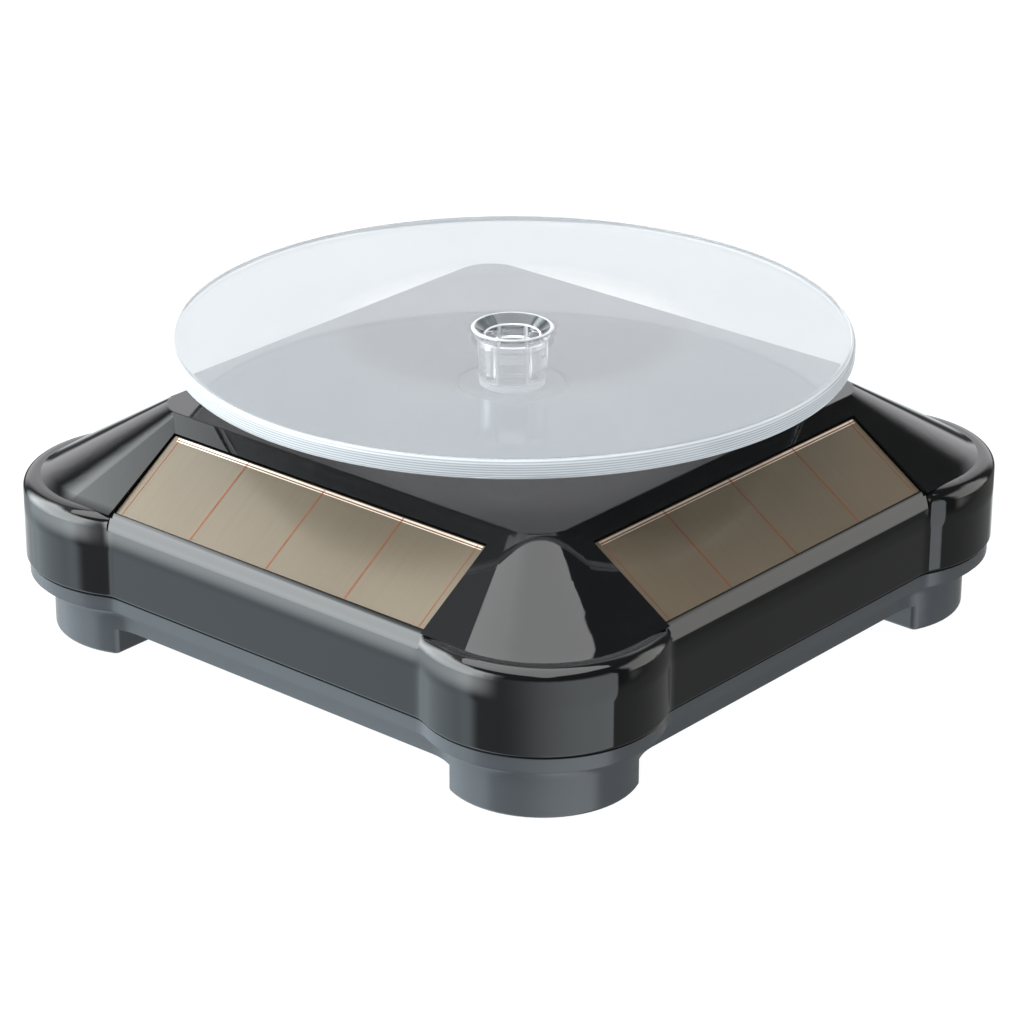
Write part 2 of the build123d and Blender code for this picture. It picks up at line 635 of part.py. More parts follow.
# ---- solar panels -----------------------------------------------------------
def slope_box(half_length, along_low, along_high, depth_low, depth_high):
    """Box on the +X sloping face: along runs down the slope, depth into the wall."""
    middle = Plane(
        origin=(PANEL_TOP_X, 0, PANEL_TOP_Z),
        x_dir=(math.cos(SLOPE_ANGLE), 0, -math.sin(SLOPE_ANGLE)),
        z_dir=(math.sin(SLOPE_ANGLE), 0, math.cos(SLOPE_ANGLE)),
    )
    return middle * box((along_low, along_high), (-half_length, half_length), (-depth_high, -depth_low))


def panel_window():
    """Recess for one panel, open at the sloping face."""
    floor = PANEL_SINK + PANEL_THICK
    return slope_box(PANEL_HALF, 0, PANEL_RUN, -COVER_WALL, floor)


def solar_panel():
    """Panel on the +X side."""
    half = PANEL_HALF - PANEL_GAP
    return slope_box(half, PANEL_GAP, PANEL_RUN - PANEL_GAP, PANEL_SINK, PANEL_SINK + PANEL_THICK)


def lead_holes():
    """Two holes behind the +X panel for its leads."""
    holes = []
    for side in (-1, 1):
        middle_x = (PANEL_TOP_X + PANEL_LOW_X) / 2
        middle_z = (PANEL_TOP_Z + PANEL_LOW_Z) / 2
        hole = Rot(0, math.degrees(SLOPE_ANGLE), 0) * Cylinder(LEAD_HOLE_R, 4 * SLOPE_WALL)
        sink = PANEL_SINK + PANEL_THICK + 2 * SLOPE_WALL
        shift_x = middle_x - sink * math.sin(SLOPE_ANGLE)
        shift_z = middle_z - sink * math.cos(SLOPE_ANGLE)
        holes.append(Pos(shift_x, side * LEAD_HOLE_X, shift_z) * hole)
    return holes


# ---- top cover --------------------------------------------------------------
def corner_start():
    """Where the corner crease meets the plateau's edge, along that edge."""
    return slope_x(PLATEAU_Z) - PLATEAU_CORNER + CREASE_IN


def corner_region(start):
    """Ground-plane area of one corner, from start along each wall."""
    edge = slope_x(PLATEAU_Z)
    near = corner_start()
    far = 2 * CORNER_HALF
    points = [
        (0, 0), (edge, near), (PANEL_TOP_X, start), (far, start), (far, far),
        (start, far), (start, PANEL_TOP_X), (near, edge),
    ]
    return make_face(Polyline(*points, close=True))


def top_cover_outside():
    """Outside of the top cover as one solid."""
    edge = slope_x(PLATEAU_Z)
    wall_z = slope_z(SIDE_HALF)
    trim = WALL_TOP_ROUND * math.tan((math.pi / 2 - SLOPE_ANGLE) / 2)
    run_x = trim * math.cos(SLOPE_ANGLE)
    run_z = trim * math.sin(SLOPE_ANGLE)
    centre = (SIDE_HALF - WALL_TOP_ROUND, wall_z - trim)
    lean = math.degrees(SLOPE_ANGLE)
    rim = PLATEAU_ROUND * math.tan(SLOPE_ANGLE / 2)
    rim_x = rim * math.cos(SLOPE_ANGLE)
    rim_z = rim * math.sin(SLOPE_ANGLE)
    rim_centre = (edge - rim, PLATEAU_Z - PLATEAU_ROUND)
    profile = [
        Line((0, SEAM_Z), (SIDE_HALF - SEAM_ROUND, SEAM_Z)),
        arc_between((SIDE_HALF - SEAM_ROUND, SEAM_Z + SEAM_ROUND), SEAM_ROUND, 270, 360),
        Line((SIDE_HALF, SEAM_Z + SEAM_ROUND), (SIDE_HALF, wall_z - trim)),
        arc_between(centre, WALL_TOP_ROUND, 0, 90 - lean),
        Line((SIDE_HALF - run_x, wall_z + run_z), (edge + rim_x, PLATEAU_Z - rim_z)),
        arc_between(rim_centre, PLATEAU_ROUND, 90 - lean, 90),
        Line((edge - rim, PLATEAU_Z), (0, PLATEAU_Z)),
        Line((0, PLATEAU_Z), (0, SEAM_Z)),
    ]
    bar = extrude(Plane.XZ * make_face(profile), corner_start(), both=True)
    ridge = make_face(Polyline((0, 0), (2 * edge, -2 * edge), (2 * edge, 2 * edge), close=True))
    bar &= slab(ridge, 0, DISC_TOP_Z)

    block = slab(case_face(), SEAM_Z, SHELF_Z)
    block = fillet(block.edges().group_by(Axis.Z)[-1], SHELF_ROUND)
    block = fillet(block.edges().group_by(Axis.Z)[0], SEAM_ROUND)
    cone = frustum(CONE_FOOT_HALF, CONE_FOOT_RADIUS, SHELF_Z, edge, PLATEAU_CORNER, PLATEAU_Z)
    cone = fillet(cone.edges().group_by(Axis.Z)[-1], PLATEAU_ROUND)
    corner = (block + cone) & slab(corner_region(PANEL_HALF), 0, DISC_TOP_Z)
    swell = block & slab(corner_region(swell_start()), 0, wall_z - trim)
    return joined(four_times(bar) + four_times(corner) + four_times(swell))


def top_cover_inside():
    """Hollow of the top cover."""
    drop = SLOPE_WALL / math.cos(SLOPE_ANGLE)
    wall = SIDE_HALF - COVER_WALL
    wall_z = slope_z(wall) - drop
    ceiling_half = slope_x(CEILING_Z + drop)
    upper = frustum(wall, CASE_INNER_RADIUS, wall_z, ceiling_half, PLATEAU_CORNER, CEILING_Z)
    lower = slab(rounded_square(wall, CASE_INNER_RADIUS), SEAM_Z, wall_z)
    return upper + lower


def top_cover():
    """Top cover with panel windows, screw bosses and the bush seat."""
    outside = top_cover_outside()
    inside = top_cover_inside()
    cover = outside - inside
    bosses = []
    for xy in case_screw_spots():
        pillar = rod(xy, PILLAR_R, SEAM_Z, PLATEAU_Z) & inside
        bosses.append(pillar + rod(xy, PILLAR_R, BOSS_FOOT_Z, SEAM_Z))
    bosses += [rod(xy, BOX_BOSS_R, BOSS_TOP_Z, CEILING_Z) for xy in POST_XY]
    bosses.append(rod(SPINDLE_XY, BUSH_BOSS_R, PLATEAU_Z - BUSH_RECESS_H - BUSH_BODY_H, CEILING_Z))
    cover = joined([cover] + bosses)
    for window in four_times(panel_window()):
        cover -= window
    for hole in lead_holes():
        for turned in four_times(hole):
            cover -= turned
    cover -= rod(SPINDLE_XY, BUSH_RECESS_R, PLATEAU_Z - BUSH_RECESS_H, PLATEAU_Z)
    cover -= rod(SPINDLE_XY, BUSH_BODY_R, UP_PLATE_Z, PLATEAU_Z)
    for xy in case_screw_spots():
        cover -= rod(xy, SCREW_R, BOSS_FOOT_Z, HEAD_SEAT_Z + SCREW_LENGTH + SCREW_HOLE_SPARE)
    for xy in POST_XY:
        cover -= rod(xy, BOX_SCREW_R, BOSS_TOP_Z, BOSS_TOP_Z + BOX_SCREW_BITE)
    return cover


# ---- base cover -------------------------------------------------------------
def foot():
    """One foot at the (+X, +Y) corner, from the ground to the floor."""
    reach = 2 * CORNER_HALF - FOOT_INNER
    middle = FOOT_INNER + reach / 2
    face = Pos(middle, middle) * RectangleRounded(reach, reach, FOOT_INNER_ROUND)
    block = slab(face & case_face(SKIRT_INSET), 0, FLOOR_Z)
    wall = SIDE_HALF - SKIRT_INSET - FOOT_END_ROUND
    ends = [edge for edge in block.edges().filter_by(Axis.Z)
            if abs(min(edge.center().X, edge.center().Y) - FOOT_INNER) < 1e-3
            and max(edge.center().X, edge.center().Y) > wall]
    block = fillet(ends, FOOT_END_ROUND)
    return fillet(block.edges().group_by(Axis.Z)[0], FOOT_EDGE)


def base_shell():
    """Floor, skirt, band and keying rim."""
    band_top = SEAM_Z - SEAM_GAP
    bead_low = BAND_LOW_Z - BAND_BEAD
    skirt = slab(case_face(SKIRT_INSET), SKIRT_Z, band_top)
    shell = skirt + slab(case_face(BAND_INSET + BAND_BEAD), bead_low, BAND_LOW_Z)
    underside = [face for face in shell.faces().filter_by(Axis.Z)
                 if abs(face.center().Z - bead_low) < 1e-3]
    shell = fillet(underside[0].inner_wires()[0].edges(), COVE)
    band = slab(case_face(BAND_INSET), BAND_LOW_Z, band_top)
    rim_half = SIDE_HALF - COVER_WALL - RIM_CLEARANCE
    rim_radius = CASE_INNER_RADIUS - RIM_CLEARANCE
    rim = slab(rounded_square(rim_half, rim_radius), band_top, band_top + RIM_HEIGHT)
    shell = joined([shell, band, rim])
    inner = SIDE_HALF - SKIRT_INSET - SKIRT_WALL
    shell -= slab(rounded_square(inner, SKIRT_INNER_RADIUS), FLOOR_Z, band_top)
    rim_face = rounded_square(rim_half - RIM_THICK, rim_radius - RIM_THICK)
    return shell - slab(rim_face, band_top, band_top + RIM_HEIGHT)


def battery_bay():
    """Walls that hold the cell and its contacts."""
    inner_y = (CELL_Y - CELL_R - BAY_GAP, CELL_Y + CELL_R + BAY_GAP)
    outer_y = (inner_y[0] - BAY_WALL, inner_y[1] + BAY_WALL)
    outer_x = (BAY_END_X[0] - BAY_WALL, BAY_END_X[1] + BAY_WALL)
    walls = box(outer_x, outer_y, (FLOOR_Z, BAY_TOP_Z)) - box(BAY_END_X, inner_y, (FLOOR_Z, BAY_TOP_Z))
    for side in (-1, 1):
        x = side * TONGUE_X
        half = TONGUE_WIDTH / 2 + DOOR_GAP
        notch = (FLOOR_Z, FLOOR_Z + 2 * TONGUE_H)
        walls -= box((x - half, x + half), (inner_y[1] - BAY_WALL, outer_y[1]), notch)
    return walls


def swing_bevel():
    """Bevel under the opening's edge that lets the door swing."""
    low = FLOOR_Z - FLOOR_THICK - CUT_PAST
    top = FLOOR_Z - HINGE_EDGE
    inner = DOOR_Y[1] - CUT_PAST
    points = [(inner, top), (DOOR_Y[1], top), (DOOR_Y[1] + top - low, low), (inner, low)]
    face = make_face(Polyline(*points, close=True))
    return Pos(DOOR_X[0], 0, 0) * extrude(Plane.YZ * face, DOOR_X[1] - DOOR_X[0])


def base_cover():
    """Base cover with feet, pillars, battery bay, switch slot and board posts."""
    pillars = []
    for xy in case_screw_spots():
        pillars.append(rod(xy, PILLAR_R, FLOOR_Z, BOSS_FOOT_Z))
    posts_xy = [(SWITCH_X, side * BOARD_SCREW_Y) for side in (-1, 1)]
    board_posts = [rod(xy, BOARD_POST_R, FLOOR_Z, BOARD_Z) for xy in posts_xy]
    base = joined([base_shell()] + four_times(foot()) + pillars + board_posts + [battery_bay()])
    for xy in case_screw_spots():
        base -= rod(xy, SCREW_HEAD_R + HEAD_HOLE_GAP, 0, HEAD_SEAT_Z)
        base -= rod(xy, SCREW_R + SCREW_HOLE_GAP, HEAD_SEAT_Z, BOSS_FOOT_Z)
    for xy in posts_xy:
        base -= rod(xy, BOARD_SCREW_R, BOARD_Z - BOARD_SCREW_LENGTH, BOARD_Z)
    base -= box(DOOR_X, DOOR_Y, (SKIRT_Z, FLOOR_Z))
    base -= swing_bevel()
    half_x = KNOB[0] / 2 + SWITCH_GAP
    low_y = -KNOB[1] / 2 - SWITCH_GAP
    high_y = KNOB[1] / 2 + SWITCH_GAP + SWITCH_TRAVEL
    base -= box((SWITCH_X - half_x, SWITCH_X + half_x), (low_y, high_y), (SKIRT_Z, FLOOR_Z))
    margin = SWITCH_FRAME_MARGIN
    base -= box((SWITCH_X - half_x - margin, SWITCH_X + half_x + margin),
                (low_y - margin, high_y + margin), (SKIRT_Z, SKIRT_Z + SWITCH_FRAME_H))
    return base


def case_screws():
    """Four long screws up through the feet."""
    sizes = (SCREW_HEAD_R, SCREW_HEAD_H, SCREW_R, SCREW_LENGTH)
    return Compound([screw(xy, HEAD_SEAT_Z, *sizes) for xy in case_screw_spots()])


# ---- battery ----------------------------------------------------------------
def battery_door():
    """Door flush with the base, with two tongues and a latch tab."""
    x = (DOOR_X[0] + DOOR_GAP, DOOR_X[1] - DOOR_GAP)
    y = (DOOR_Y[0] + DOOR_GAP, DOOR_Y[1] - DOOR_GAP)
    low = SKIRT_Z + DOOR_RECESS
    top = low + DOOR_THICK
    plate = box(x, y, (low, top))
    hinge_edge = plate.edges().filter_by(Axis.X).sort_by(Axis.Z)[:2].sort_by(Axis.Y)[-1]
    plate = chamfer(hinge_edge, DOOR_SWING_CHAMFER)
    tongue_z = (FLOOR_Z + TONGUE_LIFT, FLOOR_Z + TONGUE_LIFT + TONGUE_H)
    pieces = [plate]
    for side in (-1, 1):
        span = (side * TONGUE_X - TONGUE_WIDTH / 2, side * TONGUE_X + TONGUE_WIDTH / 2)
        pieces.append(box(span, (y[1] - TONGUE_ROOT, y[1]), (low + DOOR_THICK / 2, tongue_z[1])))
        pieces.append(box(span, (y[1] - TONGUE_ROOT, y[1] + TONGUE_REACH), tongue_z))
    tab_y = (y[0] + LATCH_BACK, y[0] + LATCH_BACK + LATCH_THICK)
    pieces.append(box((-LATCH_WIDTH / 2, LATCH_WIDTH / 2), tab_y, (low, LATCH_TOP_Z)))
    door = joined(pieces)
    for rib in range(GRIP_RIBS):
        middle = y[0] + GRIP_START + rib * GRIP_PITCH
        groove = (middle - GRIP_PITCH / 4, middle + GRIP_PITCH / 4)
        door -= box((-LATCH_WIDTH / 2, LATCH_WIDTH / 2), groove, (low, low + GRIP_DEPTH))
    return door


def aa_cell():
    """AA cell along X, its positive nub towards +X."""
    axis = (CELL_Y, CELL_Z)
    body = rod_along_x(axis, CELL_R, CELL_X, CELL_X + CELL_LENGTH)
    body = fillet(body.edges(), CELL_EDGE)
    nub = rod_along_x(axis, CELL_NUB_R, CELL_X + CELL_LENGTH, CELL_X + CELL_LENGTH + CELL_NUB_H)
    return body + nub


def contact_tag(low_x, high_x):
    """Solder tag bent over the bay's end wall."""
    tag_y = (CELL_Y - TAG_WIDTH / 2, CELL_Y + TAG_WIDTH / 2)
    return box((low_x, high_x), tag_y, (CONTACT_TOP_Z, CONTACT_TOP_Z + CONTACT_THICK))


def contact_positive():
    """Flat nickel plate against the positive end."""
    low_x = CELL_X + CELL_LENGTH + CELL_NUB_H
    half = CONTACT_WIDTH / 2
    plate = box((low_x, low_x + CONTACT_THICK), (CELL_Y - half, CELL_Y + half), (FLOOR_Z, CONTACT_TOP_Z))
    tag = contact_tag(low_x, BAY_END_X[1] + BAY_WALL + CONTACT_THICK)
    return plate + tag


def contact_negative():
    """Plate with a curved leaf that presses on the cell's flat end."""
    half = CONTACT_WIDTH / 2
    back = (BAY_END_X[0], BAY_END_X[0] + CONTACT_THICK)
    plate = box(back, (CELL_Y - half, CELL_Y + half), (FLOOR_Z, CONTACT_TOP_Z))
    tag = contact_tag(BAY_END_X[0] - BAY_WALL - CONTACT_THICK, back[1])
    reach = CELL_X - back[1]
    bow_r = (LEAF_RISE ** 2 + reach ** 2) / (2 * reach)
    centre = (CELL_X - bow_r, CELL_Z)
    leaf_y = (CELL_Y - LEAF_WIDTH / 2, CELL_Y + LEAF_WIDTH / 2)
    bow = rod_along_y(centre, bow_r, *leaf_y) - rod_along_y(centre, bow_r - CONTACT_THICK, *leaf_y)
    leaf_z = (CELL_Z - LEAF_RISE - CUT_PAST, CELL_Z + LEAF_RISE + CUT_PAST)
    window = box((back[1], CELL_X), leaf_y, leaf_z)
    return plate + tag + (bow & window)


# ---- switch and board -------------------------------------------------------
def switch_body():
    """Housing of the slide switch, open below for the slider."""
    width, length, height = SWITCH_BODY
    middle_y = SWITCH_TRAVEL / 2
    body_y = (middle_y - length / 2, middle_y + length / 2)
    body = box((SWITCH_X - width / 2, SWITCH_X + width / 2), body_y, (FLOOR_Z, FLOOR_Z + height))
    half_x = SLIDER_BASE[0] / 2 + SWITCH_GAP
    low_y = -SLIDER_BASE[1] / 2 - SWITCH_GAP
    high_y = SLIDER_BASE[1] / 2 + SWITCH_GAP + SWITCH_TRAVEL
    top = FLOOR_Z + 2 * SWITCH_GAP + SLIDER_BASE[2]
    return body - box((SWITCH_X - half_x, SWITCH_X + half_x), (low_y, high_y), (FLOOR_Z, top))


def switch_slider():
    """Slider with its knob through the base."""
    width, length, height = SLIDER_BASE
    low = FLOOR_Z + SWITCH_GAP
    plate = Pos(SWITCH_X, 0, low + height / 2) * Box(width, length, height)
    knob_x = (SWITCH_X - KNOB[0] / 2, SWITCH_X + KNOB[0] / 2)
    knob = box(knob_x, (-KNOB[1] / 2, KNOB[1] / 2), (KNOB_LOW_Z, low))
    for groove in (-1, 0, 1):
        y = groove * KNOB_GROOVE_PITCH
        groove_y = (y - KNOB_GROOVE / 2, y + KNOB_GROOVE / 2)
        knob -= box(knob_x, groove_y, (KNOB_LOW_Z, KNOB_LOW_Z + KNOB_GROOVE))
    return plate + knob


def circuit_board():
    """Board over the switch."""
    width, length, thick = BOARD_SIZE
    board = Pos(SWITCH_X, 0, BOARD_Z + thick / 2) * Box(width, length, thick)
    board = fillet(board.edges().filter_by(Axis.Z), BOARD_CORNER)
    hole_r = BOARD_SCREW_R + BOARD_SCREW_GAP
    for side in (-1, 1):
        board -= rod((SWITCH_X, side * BOARD_SCREW_Y), hole_r, BOARD_Z, BOARD_Z + thick)
    return board


def board_screws():
    """Two screws down through the board."""
    screws = []
    top = BOARD_Z + BOARD_SIZE[2]
    length = BOARD_SCREW_LENGTH + BOARD_SIZE[2] - BOARD_SCREW_SPARE
    for side in (-1, 1):
        piece = screw((0, 0), 0, BOARD_SCREW_HEAD_R, BOARD_SCREW_HEAD_H, BOARD_SCREW_R, length)
        screws.append(Pos(SWITCH_X, side * BOARD_SCREW_Y, top) * Rot(180, 0, 0) * piece)
    return Compound(screws)


def capacitor():
    """Storage capacitor on the board."""
    low = BOARD_Z + BOARD_SIZE[2]
    can = rod(CAPACITOR_XY, CAPACITOR_R, low, low + CAPACITOR_H)
    return fillet(can.edges().sort_by(Axis.Z)[-1], CAPACITOR_EDGE)


def diodes():
    """Two blocking diodes lying on the board."""
    z = BOARD_Z + BOARD_SIZE[2] + DIODE_R
    low_x = SWITCH_X - DIODE_LENGTH / 2
    bodies = []
    for y in DIODE_Y:
        body = rod_along_x((y, z), DIODE_R, low_x, low_x + DIODE_LENGTH)
        bodies.append(body)
    return Compound(bodies)


# ---- leads ------------------------------------------------------------------
def lead(points):
    """Plain round lead along straight runs joined by large arcs."""
    runs = [math.dist(a, b) for a, b in zip(points, points[1:])]
    radii = []
    for before, here, after, first, second in zip(points, points[1:], points[2:], runs, runs[1:]):
        incoming = Vector(*here) - Vector(*before)
        outgoing = Vector(*after) - Vector(*here)
        turn = math.radians(incoming.get_angle(outgoing))
        radii.append(BEND_SHARE * min(first, second) / math.tan(turn / 2))
    path = FilletPolyline(*points, radius=radii)
    section = Plane(origin=path @ 0, z_dir=path % 0) * Circle(LEAD_R)
    return sweep(section, path=path)


def battery_lead(tag_x, inward, steps, pad):
    """Lead from a contact's tag to its pad on the board."""
    z = CONTACT_TOP_Z + CONTACT_THICK + LEAD_R
    board_z = BOARD_Z + BOARD_SIZE[2] + LEAD_R
    points = [(tag_x + inward * LEAD_START_IN, CELL_Y, z)]
    points += [(tag_x + step[0], CELL_Y + step[1], z + step[2]) for step in steps]
    points.append((SWITCH_X + pad[0], pad[1], board_z))
    return lead(points)


def battery_leads():
    """Leads from the two contacts to the board."""
    plus = battery_lead(BAY_END_X[1] + BAY_WALL, -1, PLUS_STEPS, PLUS_PAD)
    minus = battery_lead(BAY_END_X[0] - BAY_WALL, 1, MINUS_STEPS, MINUS_PAD)
    return Compound([plus, minus])


def build():
    """Build every node and write its file."""
    os.makedirs("parts", exist_ok=True)
    save("top_cover", top_cover())
    save("base_cover", base_cover())
    save("display_disc", display_disc())
    save("drive_spindle", drive_spindle())
    save("spindle_bush", spindle_bush())
    for name, turn in (("right", 0), ("back", 90), ("left", 180), ("front", 270)):
        save(f"solar_panel_{name}", Rot(0, 0, turn) * solar_panel())
    save("output_gear", output_gear())
    save("second_gear", second_gear())
    save("first_gear", first_gear())
    save("motor_pinion", motor_pinion())
    save("gear_axles", gear_axles())
    save("gearbox_lower_plate", gearbox_lower_plate())
    save("gearbox_upper_plate", gearbox_upper_plate())
    save("gearbox_screws", gearbox_screws())
    save("motor_can", motor_can())
    save("motor_end_cap", motor_end_cap())
    save("motor_magnets", motor_magnets())
    save("motor_rotor", motor_rotor())
    save("motor_terminals", Compound(motor_terminals()))
    save("case_screws", case_screws())
    save("battery_door", battery_door())
    save("aa_cell", aa_cell())
    save("contact_positive", contact_positive())
    save("contact_negative", contact_negative())
    save("switch_body", switch_body())
    save("switch_slider", switch_slider())
    save("circuit_board", circuit_board())
    save("board_screws", board_screws())
    save("capacitor", capacitor())
    save("diodes", diodes())
    save("battery_leads", battery_leads())


build()
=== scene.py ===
import logging
import math
from dataclasses import dataclass, field
from enum import Enum
from typing import Any, Optional, Sequence, Union

import bmesh
import bpy
from mathutils import Matrix, Vector


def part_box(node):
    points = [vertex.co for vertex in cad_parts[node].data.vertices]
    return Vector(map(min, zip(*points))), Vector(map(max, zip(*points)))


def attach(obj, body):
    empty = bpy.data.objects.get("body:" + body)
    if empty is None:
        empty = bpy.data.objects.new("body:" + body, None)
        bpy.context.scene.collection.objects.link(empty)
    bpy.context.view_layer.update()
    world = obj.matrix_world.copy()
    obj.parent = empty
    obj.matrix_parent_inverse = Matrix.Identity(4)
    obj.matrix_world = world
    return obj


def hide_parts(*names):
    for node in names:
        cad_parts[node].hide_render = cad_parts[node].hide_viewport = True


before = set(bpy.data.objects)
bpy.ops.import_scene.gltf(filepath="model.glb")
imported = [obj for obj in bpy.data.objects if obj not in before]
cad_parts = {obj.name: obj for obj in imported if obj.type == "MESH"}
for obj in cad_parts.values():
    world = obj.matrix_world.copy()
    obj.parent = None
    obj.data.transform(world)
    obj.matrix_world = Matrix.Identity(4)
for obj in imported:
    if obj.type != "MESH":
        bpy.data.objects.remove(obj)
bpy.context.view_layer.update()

LOG = logging.getLogger("turntable")
MM = 0.001
# The colour sockets of a Mix node, which share their names with its other kinds of socket.
MIX_FIRST, MIX_SECOND, MIX_RESULT = 6, 7, 2

Colour = tuple[float, float, float]
Number = Union[int, float]
Term = Union[Number, "Value"]
Span = tuple[float, float]


class Side(Enum):
    """The four sides of the case, each with its turn from the right-hand side in degrees."""

    RIGHT = 0.0
    BACK = 90.0
    LEFT = 180.0
    FRONT = 270.0


class Along(Enum):
    """The three directions of the frame, as the socket names of a Separate XYZ node."""

    X = "X"
    Y = "Y"
    Z = "Z"


# ---- shader graphs -----------------------------------------------------------
class Value:
    """One number socket of a graph, on which Python arithmetic adds Math nodes."""

    def __init__(self, graph: "Graph", socket: bpy.types.NodeSocket) -> None:
        """Wrap a socket.

        Args:
            graph: The graph that the socket belongs to.
            socket: The output socket.
        """
        self.graph = graph
        self.socket = socket

    def __add__(self, other: Term) -> "Value":
        """Sum."""
        return self.graph.maths("ADD", self, other)

    def __radd__(self, other: Term) -> "Value":
        """Sum with the number first."""
        return self.graph.maths("ADD", other, self)

    def __sub__(self, other: Term) -> "Value":
        """Difference."""
        return self.graph.maths("SUBTRACT", self, other)

    def __rsub__(self, other: Term) -> "Value":
        """Difference with the number first."""
        return self.graph.maths("SUBTRACT", other, self)

    def __mul__(self, other: Term) -> "Value":
        """Product."""
        return self.graph.maths("MULTIPLY", self, other)

    def __rmul__(self, other: Term) -> "Value":
        """Product with the number first."""
        return self.graph.maths("MULTIPLY", other, self)

    def __truediv__(self, other: Term) -> "Value":
        """Quotient."""
        return self.graph.maths("DIVIDE", self, other)

    def __abs__(self) -> "Value":
        """Size without the sign."""
        return self.graph.maths("ABSOLUTE", self)


class Graph:
    """A node tree that is written as calls and expressions."""

    def __init__(self, tree: bpy.types.NodeTree) -> None:
        """Start from an empty tree.

        Args:
            tree: The node tree to fill.
        """
        self.tree = tree
        self.tree.nodes.clear()

    def node(
        self,
        kind: str,
        settings: Optional[dict[str, Any]] = None,
        inputs: Optional[dict[Union[str, int], Any]] = None,
    ) -> bpy.types.Node:
        """Add one node.

        Args:
            kind: The node's type, such as ShaderNodeMath.
            settings: Its own settings, set first.
            inputs: A value, a Value or an output socket for each input by name or number.

        Returns:
            The node.
        """
        made = self.tree.nodes.new(kind)
        for name, setting in (settings or {}).items():
            setattr(made, name, setting)
        for name, given in (inputs or {}).items():
            socket = made.inputs[name]
            if isinstance(given, Value):
                self.tree.links.new(given.socket, socket)
            elif isinstance(given, bpy.types.NodeSocket):
                self.tree.links.new(given, socket)
            else:
                socket.default_value = given
        return made

    def maths(self, operation: str, *terms: Term) -> Value:
        """One Math node.

        Args:
            operation: The node's operation.
            terms: Its inputs in order.

        Returns:
            Its result.
        """
        inputs = dict(enumerate(terms))
        made = self.node("ShaderNodeMath", {"operation": operation}, inputs)
        return Value(self, made.outputs[0])

    def smooth(self, value: Value, low: float, high: float) -> Value:
        """A soft step from 0 at low to 1 at high.

        Args:
            value: What is tested.
            low: Where the step starts.
            high: Where the step ends.

        Returns:
            The step.
        """
        settings = {"interpolation_type": "SMOOTHSTEP"}
        inputs = {"Value": value, "From Min": low, "From Max": high}
        made = self.node("ShaderNodeMapRange", settings, inputs)
        return Value(self, made.outputs["Result"])

    def mix(self, factor: Term, first: Any, second: Any) -> bpy.types.NodeSocket:
        """Mix of two colours.

        Args:
            factor: The second colour's share.
            first: A colour or a colour socket.
            second: A colour or a colour socket.

        Returns:
            The colour socket.
        """
        inputs = {
            "Factor": factor,
            MIX_FIRST: (*first, 1.0) if isinstance(first, tuple) else first,
            MIX_SECOND: (*second, 1.0) if isinstance(second, tuple) else second,
        }
        made = self.node("ShaderNodeMix", {"data_type": "RGBA"}, inputs)
        return made.outputs[MIX_RESULT]

    def place(self) -> bpy.types.NodeSocket:
        """The place on the object, in metres, in the shared frame."""
        return self.node("ShaderNodeTexCoord").outputs["Object"]

    def parts(self, vector: bpy.types.NodeSocket) -> dict[Along, Value]:
        """The three numbers of a vector.

        Args:
            vector: The vector socket.

        Returns:
            A Value for each direction.
        """
        made = self.node("ShaderNodeSeparateXYZ", inputs={"Vector": vector})
        return {along: Value(self, made.outputs[along.value]) for along in Along}

    def scaled(self, vector: bpy.types.NodeSocket, scale: Sequence[float]) -> bpy.types.NodeSocket:
        """A vector multiplied along each direction.

        Args:
            vector: The vector socket.
            scale: Three factors.

        Returns:
            The scaled vector's socket.
        """
        settings = {"operation": "MULTIPLY"}
        return self.node("ShaderNodeVectorMath", settings, {0: vector, 1: tuple(scale)}).outputs[0]

    def noise(
        self,
        vector: bpy.types.NodeSocket,
        per_metre: float,
        detail: float = 3.0,
        rough: float = 0.5,
    ) -> Value:
        """Noise with no colour of its own.

        Args:
            vector: Where it is read.
            per_metre: How many lumps fit in a metre.
            detail: How many finer layers it has.
            rough: How strong the finer layers are.

        Returns:
            The noise, about 0.5.
        """
        inputs = {"Vector": vector, "Scale": per_metre, "Detail": detail, "Roughness": rough}
        made = self.node("ShaderNodeTexNoise", inputs=inputs)
        return Value(self, made.outputs[0])

    def bump(
        self,
        height: Value,
        strength: float,
        distance: float,
        under: Optional[bpy.types.NodeSocket] = None,
    ) -> bpy.types.NodeSocket:
        """A bump.

        Args:
            height: Height from 0 to 1.
            strength: Share of the bump that is used.
            distance: Height of 1, in metres.
            under: The normal of the bump that this one lies on, if there is one.

        Returns:
            The normal socket.
        """
        inputs: dict[str, Any] = {"Height": height, "Strength": strength, "Distance": distance}
        if under is not None:
            inputs["Normal"] = under
        return self.node("ShaderNodeBump", inputs=inputs).outputs[0]


# ---- finishes ----------------------------------------------------------------
class Finish:
    """What every finish shares: it makes one named material, once."""

    name: str

    def material(self) -> bpy.types.Material:
        """The finish's material, made at the first call.

        Returns:
            The material.
        """
        found = bpy.data.materials.get(self.name)
        if found is not None:
            return found
        made = bpy.data.materials.new(self.name)
        made.use_nodes = True
        graph = Graph(made.node_tree)
        output = graph.node("ShaderNodeOutputMaterial")
        graph.tree.links.new(self.surface(graph), output.inputs["Surface"])
        return made

    def surface(self, graph: Graph) -> bpy.types.NodeSocket:
        """The finish's shader.

        Args:
            graph: The material's graph.

        Returns:
            The shader socket.
        """
        raise NotImplementedError


